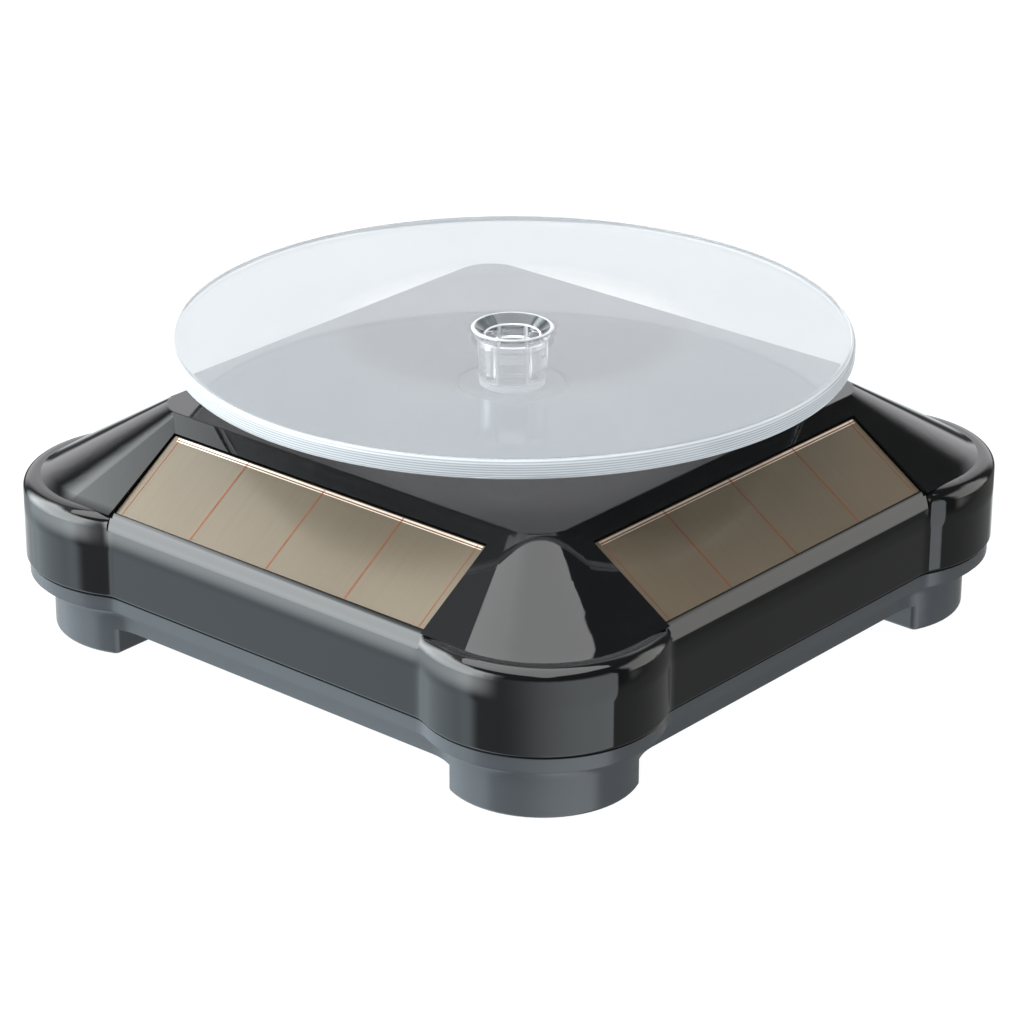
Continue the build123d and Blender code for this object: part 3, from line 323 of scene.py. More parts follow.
@dataclass(frozen=True)
class Moulded(Finish):
    """Moulded plastic: an even colour with faint mottling, flow marks and a fine skin.

    A shoulder of (low, high, drop) in millimetres leans the walls in softly between two heights.
    """

    name: str
    colour: Colour
    mottle: Colour
    roughness: float
    roughness_spread: float
    skin_per_metre: float
    skin_height: float
    ior: float = 1.5
    wave_height: float = 0.0
    shoulder: Optional[tuple[float, float, float]] = None
    mottle_per_metre: float = 180.0
    flow_per_metre: float = 60.0
    flow_squeeze: tuple[float, float, float] = (1.0, 1.0, 3.0)
    wear_per_metre: float = 900.0

    def surface(self, graph: Graph) -> bpy.types.NodeSocket:
        """The plastic's shader, from its colour, its roughness and its bumps.

        Args:
            graph: The material's graph.

        Returns:
            The shader socket.
        """
        place = graph.place()
        mottle = graph.noise(place, self.mottle_per_metre, 4.0)
        wear = graph.noise(place, self.wear_per_metre, 5.0, 0.65)
        normal = graph.bump(graph.noise(place, self.skin_per_metre, 2.0), 1.0, self.skin_height)
        if self.wave_height:
            flow = graph.noise(graph.scaled(place, self.flow_squeeze), self.flow_per_metre, 2.0)
            normal = graph.bump(flow, 1.0, self.wave_height, normal)
        if self.shoulder:
            low, high, drop = (size * MM for size in self.shoulder)
            height = 1.0 - graph.smooth(graph.parts(place)[Along.Z], low, high)
            normal = graph.bump(height, 1.0, drop, normal)
        roughness = self.roughness + self.roughness_spread * (wear + mottle - 1.0)
        shader = graph.node("ShaderNodeBsdfPrincipled", inputs={
            "Base Color": graph.mix(mottle, self.colour, self.mottle),
            "Roughness": roughness,
            "IOR": self.ior,
            "Normal": normal,
        })
        return shader.outputs[0]


@dataclass(frozen=True)
class Metal(Finish):
    """Turned or rolled metal: a tinted mirror with fine tool marks along one direction."""

    name: str
    colour: Colour
    dull: Colour
    roughness: float
    mark_scale: tuple[float, float, float] = (1.0, 1.0, 14.0)
    marks_per_metre: float = 700.0
    mark_height: float = 4e-6
    mark_roughness: float = 0.22
    stains_per_metre: float = 240.0

    def surface(self, graph: Graph) -> bpy.types.NodeSocket:
        """The metal's shader, with tool marks in its roughness and bump.

        Args:
            graph: The material's graph.

        Returns:
            The shader socket.
        """
        place = graph.place()
        marks = graph.noise(graph.scaled(place, self.mark_scale), self.marks_per_metre, 4.0, 0.6)
        stain = graph.noise(place, self.stains_per_metre, 4.0)
        shader = graph.node("ShaderNodeBsdfPrincipled", inputs={
            "Base Color": graph.mix(graph.smooth(stain, 0.35, 0.75), self.colour, self.dull),
            "Metallic": 1.0,
            "Roughness": self.roughness + self.mark_roughness * (marks - 0.5),
            "Normal": graph.bump(marks, 0.5, self.mark_height),
        })
        return shader.outputs[0]


@dataclass(frozen=True)
class ClearAcrylic(Finish):
    """Clear polished acrylic: hazed flat faces, painted reflections as pale stripes on the rim, and
    painted highlights as pale lines round the hub.

    Its places are in millimetres, out from the axis or up from the floor. A span is a soft step,
    and two spans are where a ring starts and ends.
    """

    name: str = "clear_acrylic"
    haze_share: float = 0.36
    inner_share: float = 0.2
    cloud_share: float = 0.04
    # Painted reflection on the rim: its share of pale colour, and the share and pitch of the
    # stripes up it.
    rim_reflection_share: float = 0.42
    painted_stripe_share: float = 0.12
    painted_stripe_pitch: float = 0.32
    # Painted highlights round the hub: their share, and the mouth's share.
    hub_highlight_share: float = 0.75
    mouth_highlight_share: float = 0.6
    haze_colour: Colour = (0.33, 0.36, 0.38)
    haze_shade: float = 0.94
    # Pale colour of the painted reflections on the rim and the painted highlights round the hub.
    painted_highlight_colour: Colour = (0.78, 0.81, 0.84)
    clear_colour: Colour = (0.985, 0.995, 1.0)
    clear_mottle: Colour = (0.97, 0.985, 0.99)
    polish: float = 0.012
    scratch_roughness: float = 0.02
    haze_start: Span = (5.6, 6.2)
    haze_climb: Span = (18.0, 27.0)
    rim_start: Span = (43.6, 44.2)
    # Places of the painted highlights round the hub: socket corners, mouth and lower end.
    corner_ring: tuple[Span, Span] = ((3.5, 3.62), (3.72, 3.8))
    mouth_ring: tuple[Span, Span] = ((4.95, 5.1), (5.45, 5.6))
    hub_foot: Span = (31.75, 32.05)
    mouth_foot: Span = (40.45, 40.55)
    level_face: Span = (0.9, 0.97)
    # Blend of that pale painted colour over the haze.
    painted_highlight_blend: Span = (0.02, 0.05)

    @staticmethod
    def _step(graph: Graph, value: Value, span: Span) -> Value:
        """A soft step over a span in millimetres.

        Args:
            graph: The material's graph.
            value: A distance in metres.
            span: Where the step starts and ends.

        Returns:
            The step.
        """
        return graph.smooth(value, span[0] * MM, span[1] * MM)

    def _ring(self, graph: Graph, radius: Value, spans: tuple[Span, Span]) -> Value:
        """A soft-edged ring round the axis.

        Args:
            graph: The material's graph.
            radius: Distance from the axis.
            spans: Where the ring starts and where it ends.

        Returns:
            The ring's mask.
        """
        return self._step(graph, radius, spans[0]) * (1.0 - self._step(graph, radius, spans[1]))

    def _painted_hub_highlights(self, graph: Graph, radius: Value, height: Value, start: Value) -> Value:
        """Painted highlights on the hub's edges: socket corners, lower end and mouth.

        Args:
            graph: The material's graph.
            radius: Distance from the axis.
            height: Height above the floor.
            start: Mask of what lies outside the hub.

        Returns:
            The painted highlights' mask.
        """
        # Painted highlights: pale lines at the socket's corners, at the hub's lower end and at its
        # mouth.
        corner_highlight = self._ring(graph, radius, self.corner_ring)
        under = 1.0 - self._step(graph, height, self.hub_foot)
        mouth = self._ring(graph, radius, self.mouth_ring)
        mouth = mouth * self._step(graph, height, self.mouth_foot)
        socket_highlight = graph.maths("MAXIMUM", corner_highlight, under * (1.0 - start))
        return graph.maths("MAXIMUM", socket_highlight, self.mouth_highlight_share * mouth)

    def surface(self, graph: Graph) -> bpy.types.NodeSocket:
        """Clear acrylic, hazed between the hub and the rim, with painted reflections on the rim and
        painted highlights round the hub.

        Args:
            graph: The material's graph.

        Returns:
            The shader socket.
        """
        place = graph.place()
        part = graph.parts(place)
        ground = part[Along.X] * part[Along.X] + part[Along.Y] * part[Along.Y]
        radius = graph.maths("SQRT", ground)
        start = self._step(graph, radius, self.haze_start)
        climb = self._step(graph, radius, self.haze_climb)
        cloud = graph.noise(place, 70.0, 5.0, 0.6)
        normal = graph.parts(graph.node("ShaderNodeNewGeometry").outputs["Normal"])
        flat = graph.smooth(abs(normal[Along.Z]), *self.level_face)
        depth = self.inner_share + (self.haze_share - self.inner_share) * climb
        depth = depth + self.cloud_share * (cloud - 0.5)
        # Painted reflection: a pale band on the rounded rim with stripes up it, standing in for
        # light caught inside the rim.
        layers = graph.maths("SINE", part[Along.Z] * (2 * math.pi / (self.painted_stripe_pitch * MM)))
        rim = self._step(graph, radius, self.rim_start) * (1.0 - flat)
        rim = rim * (self.rim_reflection_share + self.painted_stripe_share * layers)
        # Painted highlights round the hub.
        hub = self._painted_hub_highlights(graph, radius, part[Along.Z], start)
        # edge joins the painted reflections on the rim and the painted highlights round the hub.
        edge = graph.maths("MAXIMUM", rim, hub * self.hub_highlight_share)
        scratches = graph.noise(graph.scaled(place, (1.0, 5.0, 1.0)), 1500.0, 3.0, 0.7)
        clear = graph.node("ShaderNodeBsdfPrincipled", inputs={
            "Base Color": graph.mix(cloud, self.clear_colour, self.clear_mottle),
            "Roughness": self.polish + self.scratch_roughness * graph.smooth(scratches, 0.6, 0.8),
            "IOR": 1.49,
            "Transmission Weight": 1.0,
        })
        shaded = tuple(self.haze_shade * tone for tone in self.haze_colour)
        veil = graph.mix(cloud, self.haze_colour, shaded)
        haze = graph.node("ShaderNodeBsdfPrincipled", inputs={
            # The haze takes the pale painted colour where edge is set.
            "Base Color": graph.mix(graph.smooth(edge, *self.painted_highlight_blend), veil, self.painted_highlight_colour),
            "Roughness": 1.0,
            "Specular IOR Level": 0.0,
        })
        # The painted reflections and highlights also raise the share of the pale layer.
        share = graph.maths("MAXIMUM", start * flat * depth, edge)
        both = graph.node("ShaderNodeMixShader", inputs={
            0: share, 1: clear.outputs[0], 2: haze.outputs[0],
        })
        return both.outputs[0]


@dataclass(frozen=True)
class SolarFilm(Finish):
    """Thin-film silicon behind glass: bronze khaki with faint upright streaks."""

    name: str
    turn: float
    colour: Colour = (0.118, 0.093, 0.06)
    deep: Colour = (0.1, 0.078, 0.05)
    streaks_per_metre: float = 1400.0
    streak_stretch: tuple[float, float, float] = (0.03, 1.0, 0.03)
    streak_share: float = 0.35
    clouds_per_metre: float = 45.0

    def surface(self, graph: Graph) -> bpy.types.NodeSocket:
        """The film's shader under a clear glass coat.

        Args:
            graph: The material's graph.

        Returns:
            The shader socket.
        """
        turned = graph.node("ShaderNodeVectorRotate", {"rotation_type": "Z_AXIS"}, {
            "Vector": graph.place(), "Angle": -math.radians(self.turn),
        }).outputs[0]
        stretched = graph.scaled(turned, self.streak_stretch)
        streaks = graph.noise(stretched, self.streaks_per_metre, 3.0, 0.6)
        cloud = graph.noise(turned, self.clouds_per_metre, 3.0)
        tone = self.streak_share * streaks + (1.0 - self.streak_share) * cloud
        shader = graph.node("ShaderNodeBsdfPrincipled", inputs={
            "Base Color": graph.mix(graph.smooth(tone, 0.25, 0.75), self.colour, self.deep),
            "Metallic": 0.35,
            "Roughness": 0.34 + 0.1 * (streaks - 0.5),
            "Coat Weight": 0.2,
            "Coat Roughness": 0.08,
            "Coat IOR": 1.5,
            "Normal": graph.bump(streaks, 0.1, 2e-6),
        })
        return shader.outputs[0]


@dataclass(frozen=True)
class Banded(Finish):
    """A smooth wrap whose colour changes across one direction, such as a printed sleeve."""

    name: str
    along: Along
    bands: tuple[tuple[float, float, Colour], ...]
    ground: Colour
    roughness: float
    metallic: float = 0.0
    shade: float = 0.86
    soft: float = 5e-5

    def surface(self, graph: Graph) -> bpy.types.NodeSocket:
        """The wrap's shader, with one soft-edged band for each entry.

        Args:
            graph: The material's graph.

        Returns:
            The shader socket.
        """
        place = graph.place()
        place_along = graph.parts(place)[self.along]
        grain = graph.noise(place, 500.0, 4.0)
        colour = graph.mix(grain, self.ground, tuple(self.shade * tone for tone in self.ground))
        for low, high, band in self.bands:
            inside = graph.smooth(place_along, low * MM - self.soft, low * MM)
            inside = inside * (1.0 - graph.smooth(place_along, high * MM, high * MM + self.soft))
            colour = graph.mix(inside, colour, band)
        shader = graph.node("ShaderNodeBsdfPrincipled", inputs={
            "Base Color": colour,
            "Metallic": self.metallic,
            "Roughness": self.roughness + 0.1 * (grain - 0.5),
            "Normal": graph.bump(grain, 0.2, 5e-6),
        })
        return shader.outputs[0]


@dataclass(frozen=True)
class CircuitMask(Finish):
    """Green solder mask with faint tracks under it."""

    name: str = "solder_mask"
    colour: Colour = (0.012, 0.11, 0.035)
    track: Colour = (0.03, 0.2, 0.06)
    shade: float = 0.8
    tracks_per_metre: float = 260.0
    track_width: float = 0.03

    def surface(self, graph: Graph) -> bpy.types.NodeSocket:
        """The mask's shader, with tracks drawn by a brick pattern.

        Args:
            graph: The material's graph.

        Returns:
            The shader socket.
        """
        place = graph.place()
        bricks = graph.node("ShaderNodeTexBrick", {"offset": 0.5}, {
            "Vector": place, "Scale": self.tracks_per_metre, "Mortar Size": self.track_width,
        })
        tracks = Value(graph, bricks.outputs["Fac"])
        grain = graph.noise(place, 800.0, 3.0)
        base = graph.mix(grain, self.colour, tuple(self.shade * tone for tone in self.colour))
        shader = graph.node("ShaderNodeBsdfPrincipled", inputs={
            "Base Color": graph.mix(tracks, base, self.track),
            "Roughness": 0.3 + 0.1 * (grain - 0.5),
            "Normal": graph.bump(tracks, 0.4, 2e-5),
        })
        return shader.outputs[0]


class Finishes:
    """Every finish of the turntable by its place."""

    COVER = Moulded(
        "gloss_cover", colour=(0.0045, 0.0048, 0.0052), mottle=(0.003, 0.0032, 0.0035),
        roughness=0.035, roughness_spread=0.02, skin_per_metre=2500.0, skin_height=1e-6,
        wave_height=4e-6, shoulder=(16.6, 22.4, 1.3),
    )
    BASE = Moulded(
        "satin_base", colour=(0.052, 0.058, 0.063), mottle=(0.045, 0.05, 0.055),
        roughness=0.24, roughness_spread=0.05, skin_per_metre=9000.0, skin_height=3e-6,
    )
    BUSH = Moulded(
        "bush_black", colour=(0.012, 0.012, 0.013), mottle=(0.009, 0.009, 0.01),
        roughness=0.07, roughness_spread=0.03, skin_per_metre=2500.0, skin_height=1e-6,
    )
    SWITCH = Moulded(
        "switch_black", colour=(0.014, 0.014, 0.015), mottle=(0.009, 0.009, 0.01),
        roughness=0.42, roughness_spread=0.06, skin_per_metre=9000.0, skin_height=8e-6,
    )
    GEARS = Moulded(
        "gear_acetal", colour=(0.78, 0.77, 0.72), mottle=(0.7, 0.69, 0.64),
        roughness=0.36, roughness_spread=0.08, skin_per_metre=6000.0, skin_height=5e-6, ior=1.48,
    )
    PLATES = Moulded(
        "plate_nylon", colour=(0.66, 0.66, 0.63), mottle=(0.58, 0.58, 0.55),
        roughness=0.45, roughness_spread=0.08, skin_per_metre=5000.0, skin_height=1e-5,
    )
    END_CAP = Moulded(
        "end_cap", colour=(0.03, 0.03, 0.034), mottle=(0.02, 0.02, 0.022),
        roughness=0.4, roughness_spread=0.06, skin_per_metre=8000.0, skin_height=6e-6,
    )
    MAGNET = Moulded(
        "magnet_ferrite", colour=(0.035, 0.033, 0.032), mottle=(0.024, 0.023, 0.022),
        roughness=0.6, roughness_spread=0.1, skin_per_metre=4000.0, skin_height=2e-5, ior=1.8,
    )
    STEEL = Metal("steel", (0.56, 0.57, 0.58), (0.45, 0.46, 0.47), roughness=0.25)
    SCREW = Metal("screw_steel", (0.5, 0.5, 0.5), (0.36, 0.36, 0.36), roughness=0.32)
    ROTOR = Metal(
        "rotor_steel", (0.4, 0.4, 0.41), (0.3, 0.3, 0.31), roughness=0.4,
        mark_scale=(1.0, 1.0, 40.0),
    )
    NICKEL = Metal(
        "nickel", (0.66, 0.63, 0.58), (0.55, 0.52, 0.47), roughness=0.24,
        mark_scale=(14.0, 1.0, 1.0),
    )
    BRASS = Metal("brass", (0.75, 0.55, 0.24), (0.6, 0.42, 0.18), roughness=0.28)
    COPPER = Metal("copper_line", (0.2, 0.08, 0.045), (0.16, 0.06, 0.035), roughness=0.6)
    BUSBAR = Metal("busbar_tin", (0.95, 0.78, 0.66), (0.9, 0.7, 0.58), roughness=0.35)
    ACRYLIC = ClearAcrylic()
    MASK = CircuitMask()
    CELL = Banded(
        "cell_jacket", Along.X,
        ((-23.6, 16.0, (0.02, 0.03, 0.045)), (16.0, 24.2, (0.5, 0.2, 0.06))),
        ground=(0.6, 0.6, 0.6), roughness=0.3, metallic=0.35,
    )
    CAPACITOR = Banded(
        "capacitor_sleeve", Along.X, ((37.2, 38.2, (0.5, 0.5, 0.55)),),
        ground=(0.012, 0.014, 0.03), roughness=0.3,
    )
    DIODE = Banded(
        "diode_black", Along.X, ((34.0, 34.6, (0.6, 0.6, 0.6)),),
        ground=(0.015, 0.015, 0.016), roughness=0.35,
    )
    LEAD = Banded("lead_sleeve", Along.Y, (), ground=(0.3, 0.012, 0.01), roughness=0.4)


# ---- mesh helpers ------------------------------------------------------------
def dress(node: str, finish: Finish) -> bpy.types.Object:
    """Put a finish on a CAD node.

    Args:
        node: The node's name.
        finish: The finish.

    Returns:
        The node's object.
    """
    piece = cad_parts[node]
    material = finish.material()
    for slot in piece.material_slots:
        slot.material = material
    if not piece.material_slots:
        piece.data.materials.append(material)
    LOG.info("%s: %s", node, finish.name)
    return piece


def new_piece(
    name: str, mesh: bmesh.types.BMesh, finish: Finish, body: str
) -> bpy.types.Object:
    """Turn a finished bmesh into a piece that rides on a body.

    Args:
        name: The piece's name.
        mesh: The bmesh, which is freed.
        finish: Its finish.
        body: The CAD body it rides on.

    Returns:
        The piece.
    """
    bmesh.ops.recalc_face_normals(mesh, faces=mesh.faces)
    data = bpy.data.meshes.new(name)
    mesh.to_mesh(data)
    mesh.free()
    data.materials.append(finish.material())
    piece = bpy.data.objects.new(name, data)
    bpy.context.scene.collection.objects.link(piece)
    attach(piece, body)
    LOG.info("%s: %s on %s", name, finish.name, body)
    return piece


def bevel(
    piece: bpy.types.Object, width: float, segments: int = 2, sharper_than: float = 40.0
) -> None:
    """Break a piece's sharp edges.

    Args:
        piece: The piece.
        width: Width of the broken edge in metres.
        segments: Facets across it.
        sharper_than: The least angle in degrees of an edge that is broken.
    """
    made = piece.modifiers.new("broken_edges", "BEVEL")
    made.width = width
    made.segments = segments
    made.limit_method = "ANGLE"
    made.angle_limit = math.radians(sharper_than)
    made.harden_normals = False


# ---- sub-assemblies ----------------------------------------------------------
class DressedNodes:
    """A sub-assembly whose pieces are CAD nodes, each with a finish of its own."""

    finishes: dict[str, Finish]

    def build(self) -> None:
        """Dress the nodes."""
        for node, finish in self.finishes.items():
            dress(node, finish)


@dataclass
class SolarRoof:
    """The four solar panels: film with scribed cells, and two busbars along the top edge."""

    cells: int = 4
    scribe_width: float = 0.28 * MM
    line_lift: float = 0.02 * MM
    busbar_width: float = 0.26 * MM
    busbar_start: float = 0.78 * MM
    busbar_inset: float = 0.05 * MM
    busbar_gap: float = 0.2 * MM
    margin_width: float = 0.16 * MM
    margin_inset: float = 1.1 * MM
    edge_break: float = 0.06 * MM

    def build(self) -> None:
        """Dress the panels and lay their lines."""
        for side in Side:
            name = f"solar_panel_{side.name.lower()}"
            panel = dress(name, SolarFilm(f"solar_film_{side.name.lower()}", side.value))
            bevel(panel, self.edge_break)
            self._lines(side)

    def _corners(self) -> tuple[Vector, Vector, float]:
        """The face of the right-hand panel, which the other three repeat.

        Returns:
            The middle of its upper edge, the middle of its lower edge and its half length.
        """
        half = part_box("solar_panel_right")[1].y
        points = [v.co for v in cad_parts["solar_panel_right"].data.vertices]
        top = max(points, key=lambda point: point.z)
        foot = max(points, key=lambda point: point.x)
        return Vector((top.x, 0.0, top.z)), Vector((foot.x, 0.0, foot.z)), half

    def _lines(self, side: Side) -> None:
        """The copper scribe lines and the busbars of one panel.

        Args:
            side: Which panel.
        """
        upper, lower, half = self._corners()
        down = (lower - upper).normalized()
        out = Vector((-down.z, 0.0, down.x))
        if out.z < 0:
            out = -out
        length = (lower - upper).length
        turn = Matrix.Rotation(math.radians(side.value), 4, "Z")
        middle = upper + down * (length / 2)
        reach = length / 2 - self.edge_break
        cell = 2 * half / self.cells
        places = [(-half + cell * line, self.scribe_width) for line in range(1, self.cells)]
        places += [(end * (half - self.margin_inset), self.margin_width) for end in (-1, 1)]
        lines = bmesh.new()
        for y, width in places:
            across = (y - width / 2, y + width / 2)
            self._strip(lines, middle, down, out, (-reach, reach), across)
        bmesh.ops.transform(lines, matrix=turn, verts=lines.verts)
        new_piece(f"scribe_lines_{side.name.lower()}", lines, Finishes.COPPER, "case")
        bars = bmesh.new()
        across = (-half + self.busbar_start, half - self.busbar_width)
        run = self.edge_break + self.busbar_inset
        for width in (self.busbar_width, self.busbar_width / 2):
            self._strip(bars, upper, down, out, (run, run + width), across)
            run += self.busbar_width + self.busbar_gap
        bmesh.ops.transform(bars, matrix=turn, verts=bars.verts)
        new_piece(f"busbar_{side.name.lower()}", bars, Finishes.BUSBAR, "case")

    def _strip(
        self,
        mesh: bmesh.types.BMesh,
        origin: Vector,
        down: Vector,
        out: Vector,
        run: Span,
        across: Span,
    ) -> None:
        """A thin flat strip on the face, whose sides lean in a little.

        Args:
            mesh: The bmesh it is added to.
            origin: Point on the face that the run is measured from.
            down: Direction down the slope.
            out: Direction out of the face.
            run: Start and end down the slope.
            across: Start and end along the panel.
        """
        layers = []
        for lift in (0.0, self.line_lift):
            lean = lift / 2
            first, last = run[0] + lean, run[1] - lean
            near, far = across[0] + lean, across[1] - lean
            layers.append([
                mesh.verts.new(origin + down * s + out * lift + Vector((0.0, y, 0.0)))
                for s, y in ((first, near), (last, near), (last, far), (first, far))
            ])
        bottom, top = layers
        mesh.faces.new(top)
        mesh.faces.new(list(reversed(bottom)))
        for i, j in ((0, 1), (1, 2), (2, 3), (3, 0)):
            mesh.faces.new((bottom[i], bottom[j], top[j], top[i]))


@dataclass
class Casing(DressedNodes):
    """The two covers, the bush in the plateau and the case screws."""

    finishes: dict[str, Finish] = field(default_factory=lambda: {
        "top_cover": Finishes.COVER,
        "base_cover": Finishes.BASE,
        "spindle_bush": Finishes.BUSH,
        "case_screws": Finishes.SCREW,
    })


@dataclass
class DisplayDrive:
    """The clear disc, turned finely with its hexagonal socket, and the spindle under it."""

    across_flats: float = 6.4 * MM
    socket_turn: float = -49.3
    hub_low: float = 4.5 * MM
    hub_top: float = 4.8 * MM
    hub_root: float = 0.5 * MM
    mouth: float = 5.1 * MM
    mouth_depth: float = 1.5 * MM
    mouth_land: float = 0.05 * MM
    lip: float = 5.5 * MM
    lip_height: float = 0.25 * MM
    lip_round: tuple[Span, ...] = ((0.2 * MM, 0.02 * MM), (0.06 * MM, 0.09 * MM))
    thickness: float = 2.8 * MM
    rim_round: float = 0.9 * MM
    rim_facets: int = 14
    root_facets: int = 10
    facets_per_flat: int = 64
    sharper_than: float = 24.0
    trim: float = 0.002 * MM
    hold: float = 0.04 * MM
    hold_lean: float = 0.004 * MM

    def build(self) -> None:
        """Make the disc and dress the spindle."""
        low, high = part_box("display_disc")
        mesh = self._turned(high.x - self.trim, low.z + self.trim, high.z - self.trim)
        disc = new_piece("clear_disc", mesh, Finishes.ACRYLIC, "disc")
        disc.data.shade_smooth()
        disc.data.set_sharp_from_angle(angle=math.radians(self.sharper_than))
        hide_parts("display_disc")
        dress("drive_spindle", Finishes.ACRYLIC)

    def _turned(self, radius: float, foot: float, crown: float) -> bmesh.types.BMesh:
        """The disc with its hub, as one ring of facets for each heading.

        Args:
            radius: Outer radius of the disc.
            foot: Height of the hub's lower end.
            crown: Height of the lip.

        Returns:
            The closed bmesh.
        """
        mesh = bmesh.new()
        flats = 6
        count = flats * self.facets_per_flat
        first = math.radians(self.socket_turn)
        rings = []
        for step in range(count):
            turned = 2 * math.pi * step / count
            off_flat = (turned + math.pi / flats) % (2 * math.pi / flats) - math.pi / flats
            socket = self.across_flats / 2 / math.cos(off_flat)
            cos, sin = math.cos(first + turned), math.sin(first + turned)
            profile = self._profile(socket, radius, foot, crown)
            rings.append([mesh.verts.new((r * cos, r * sin, z)) for r, z in profile])
        for here, after in zip(rings, rings[1:] + rings[:1]):
            for i in range(len(here)):
                j = (i + 1) % len(here)
                mesh.faces.new((here[i], here[j], after[j], after[i]))
        return mesh

    def _profile(self, socket: float, radius: float, foot: float, crown: float) -> list[Span]:
        """The closed section at one heading, as distances from the axis and heights.

        A point just past each end of a rounding, hold away, keeps the flat beside it flat in
        the smooth shading.

        Args:
            socket: Distance of the socket's wall.
            radius: Outer radius of the disc.
            foot: Height of the hub's lower end.
            crown: Height of the lip.

        Returns:
            The points in order round the section.
        """
        top = crown - self.lip_height
        under = top - self.thickness
        slope = self.mouth_depth / (self.mouth - self.across_flats / 2)
        flare = crown - (self.mouth - socket) * slope
        rim = radius - self.rim_round
        root = (self.hub_top + self.hub_root, under - self.hub_root)
        points = [(socket, foot), (socket, flare)]
        points += [(self.mouth, crown), (self.mouth + self.mouth_land, crown)]
        points += [(self.lip - inset, crown - drop) for inset, drop in self.lip_round]
        points += [(self.lip, top), (self.lip + self.hold, top), (rim - self.hold, top)]
        for height, angles in (
            (top - self.rim_round, (90.0, 0.0)),
            (under + self.rim_round, (0.0, -90.0)),
        ):
            points += self._arc((rim, height), self.rim_round, angles, self.rim_facets)
        points += [(rim - self.hold, under), (root[0] + self.hold, under)]
        points += self._arc(root, self.hub_root, (90.0, 180.0), self.root_facets)
        points += [(self.hub_top - self.hold_lean, root[1] - self.hold), (self.hub_low, foot)]
        return points

    @staticmethod
    def _arc(centre: Span, radius: float, angles: Span, facets: int) -> list[Span]:
        """Points along a rounding.

        Args:
            centre: Centre of the rounding.
            radius: Its radius.
            angles: First and last angle in degrees.
            facets: How many facets it has.

        Returns:
            The points.
        """
        start, end = angles
        steps = [math.radians(start + (end - start) * i / facets) for i in range(facets + 1)]
        return [(centre[0] + radius * math.cos(a), centre[1] + radius * math.sin(a)) for a in steps]


@dataclass
class GearTrain(DressedNodes):
    """Gears, axles, plates and their screws."""

    finishes: dict[str, Finish] = field(default_factory=lambda: {
        "output_gear": Finishes.GEARS,
        "second_gear": Finishes.GEARS,
        "first_gear": Finishes.GEARS,
        "gear_axles": Finishes.STEEL,
        "gearbox_lower_plate": Finishes.PLATES,
        "gearbox_upper_plate": Finishes.PLATES,
        "gearbox_screws": Finishes.SCREW,
        "motor_pinion": Finishes.BRASS,
    })


@dataclass
class Motor(DressedNodes):
    """The small motor with its magnets, rotor and solder lugs."""

    finishes: dict[str, Finish] = field(default_factory=lambda: {
        "motor_can": Finishes.STEEL,
        "motor_end_cap": Finishes.END_CAP,
        "motor_magnets": Finishes.MAGNET,
        "motor_rotor": Finishes.ROTOR,
        "motor_terminals": Finishes.BRASS,
    })


@dataclass
class PowerSupply(DressedNodes):
    """Battery bay, switch and board."""

    finishes: dict[str, Finish] = field(default_factory=lambda: {
        "aa_cell": Finishes.CELL,
        "contact_positive": Finishes.NICKEL,
        "contact_negative": Finishes.NICKEL,
        "battery_door": Finishes.BASE,
        "battery_leads": Finishes.LEAD,
        "circuit_board": Finishes.MASK,
        "board_screws": Finishes.SCREW,
        "capacitor": Finishes.CAPACITOR,
        "diodes": Finishes.DIODE,
        "switch_body": Finishes.SWITCH,
        "switch_slider": Finishes.SWITCH,
    })


# ---- studio ------------------------------------------------------------------
@dataclass(frozen=True)
class WallLight:
    """A soft-edged patch of light on the studio walls, between headings and heights in degrees."""

    name: str
    headings: Span
    heights: Span
    strength: float
    colour: Colour
    heading_soft: Span
    height_soft: Span

    def glow(self, graph: Graph, part: dict[Along, Value], level: Value) -> Value:
        """How bright the patch is in each direction.

        Args:
            graph: The world's graph.
            part: The direction's three numbers.
            level: The direction's length over the ground.

        Returns:
            The brightness.
        """
        first, last = (math.radians(heading) for heading in self.headings)
        after = (part[Along.Y] * math.cos(first) - part[Along.X] * math.sin(first)) / level
        before = (part[Along.X] * math.sin(last) - part[Along.Y] * math.cos(last)) / level
        glow: Term = self.strength
        for value, soft in zip((after, before), self.heading_soft):
            half = math.sin(math.radians(soft))
            glow = graph.smooth(value, -half, half) * glow
        bottom, top = (
            (math.sin(math.radians(height - soft)), math.sin(math.radians(height + soft)))
            for height, soft in zip(self.heights, self.height_soft)
        )
        rise = graph.smooth(part[Along.Z], *bottom)
        return glow * rise * (1.0 - graph.smooth(part[Along.Z], *top))


@dataclass(frozen=True)
class CeilingLight:
    """A softbox overhead, as a rectangle on a ceiling one unit up."""

    name: str
    x: Span
    y: Span
    strength: float
    soft: float
    colour: Colour = (1.0, 1.0, 1.0)
    least_height: float = 0.02
    horizon: Span = (0.05, 0.1)

    def glow(self, graph: Graph, part: dict[Along, Value], level: Value) -> Value:
        """How bright the softbox is in each direction.

        Args:
            graph: The world's graph.
            part: The direction's three numbers.
            level: The direction's length over the ground, which isn't used.

        Returns:
            The brightness.
        """
        height = graph.maths("MAXIMUM", part[Along.Z], self.least_height)
        glow = graph.smooth(part[Along.Z], *self.horizon)
        for along, (low, high) in ((Along.X, self.x), (Along.Y, self.y)):
            run = part[along] / height
            glow = glow * graph.smooth(run, low - self.soft, low + self.soft)
            glow = glow * (1.0 - graph.smooth(run, high - self.soft, high + self.soft))
        return glow * self.strength


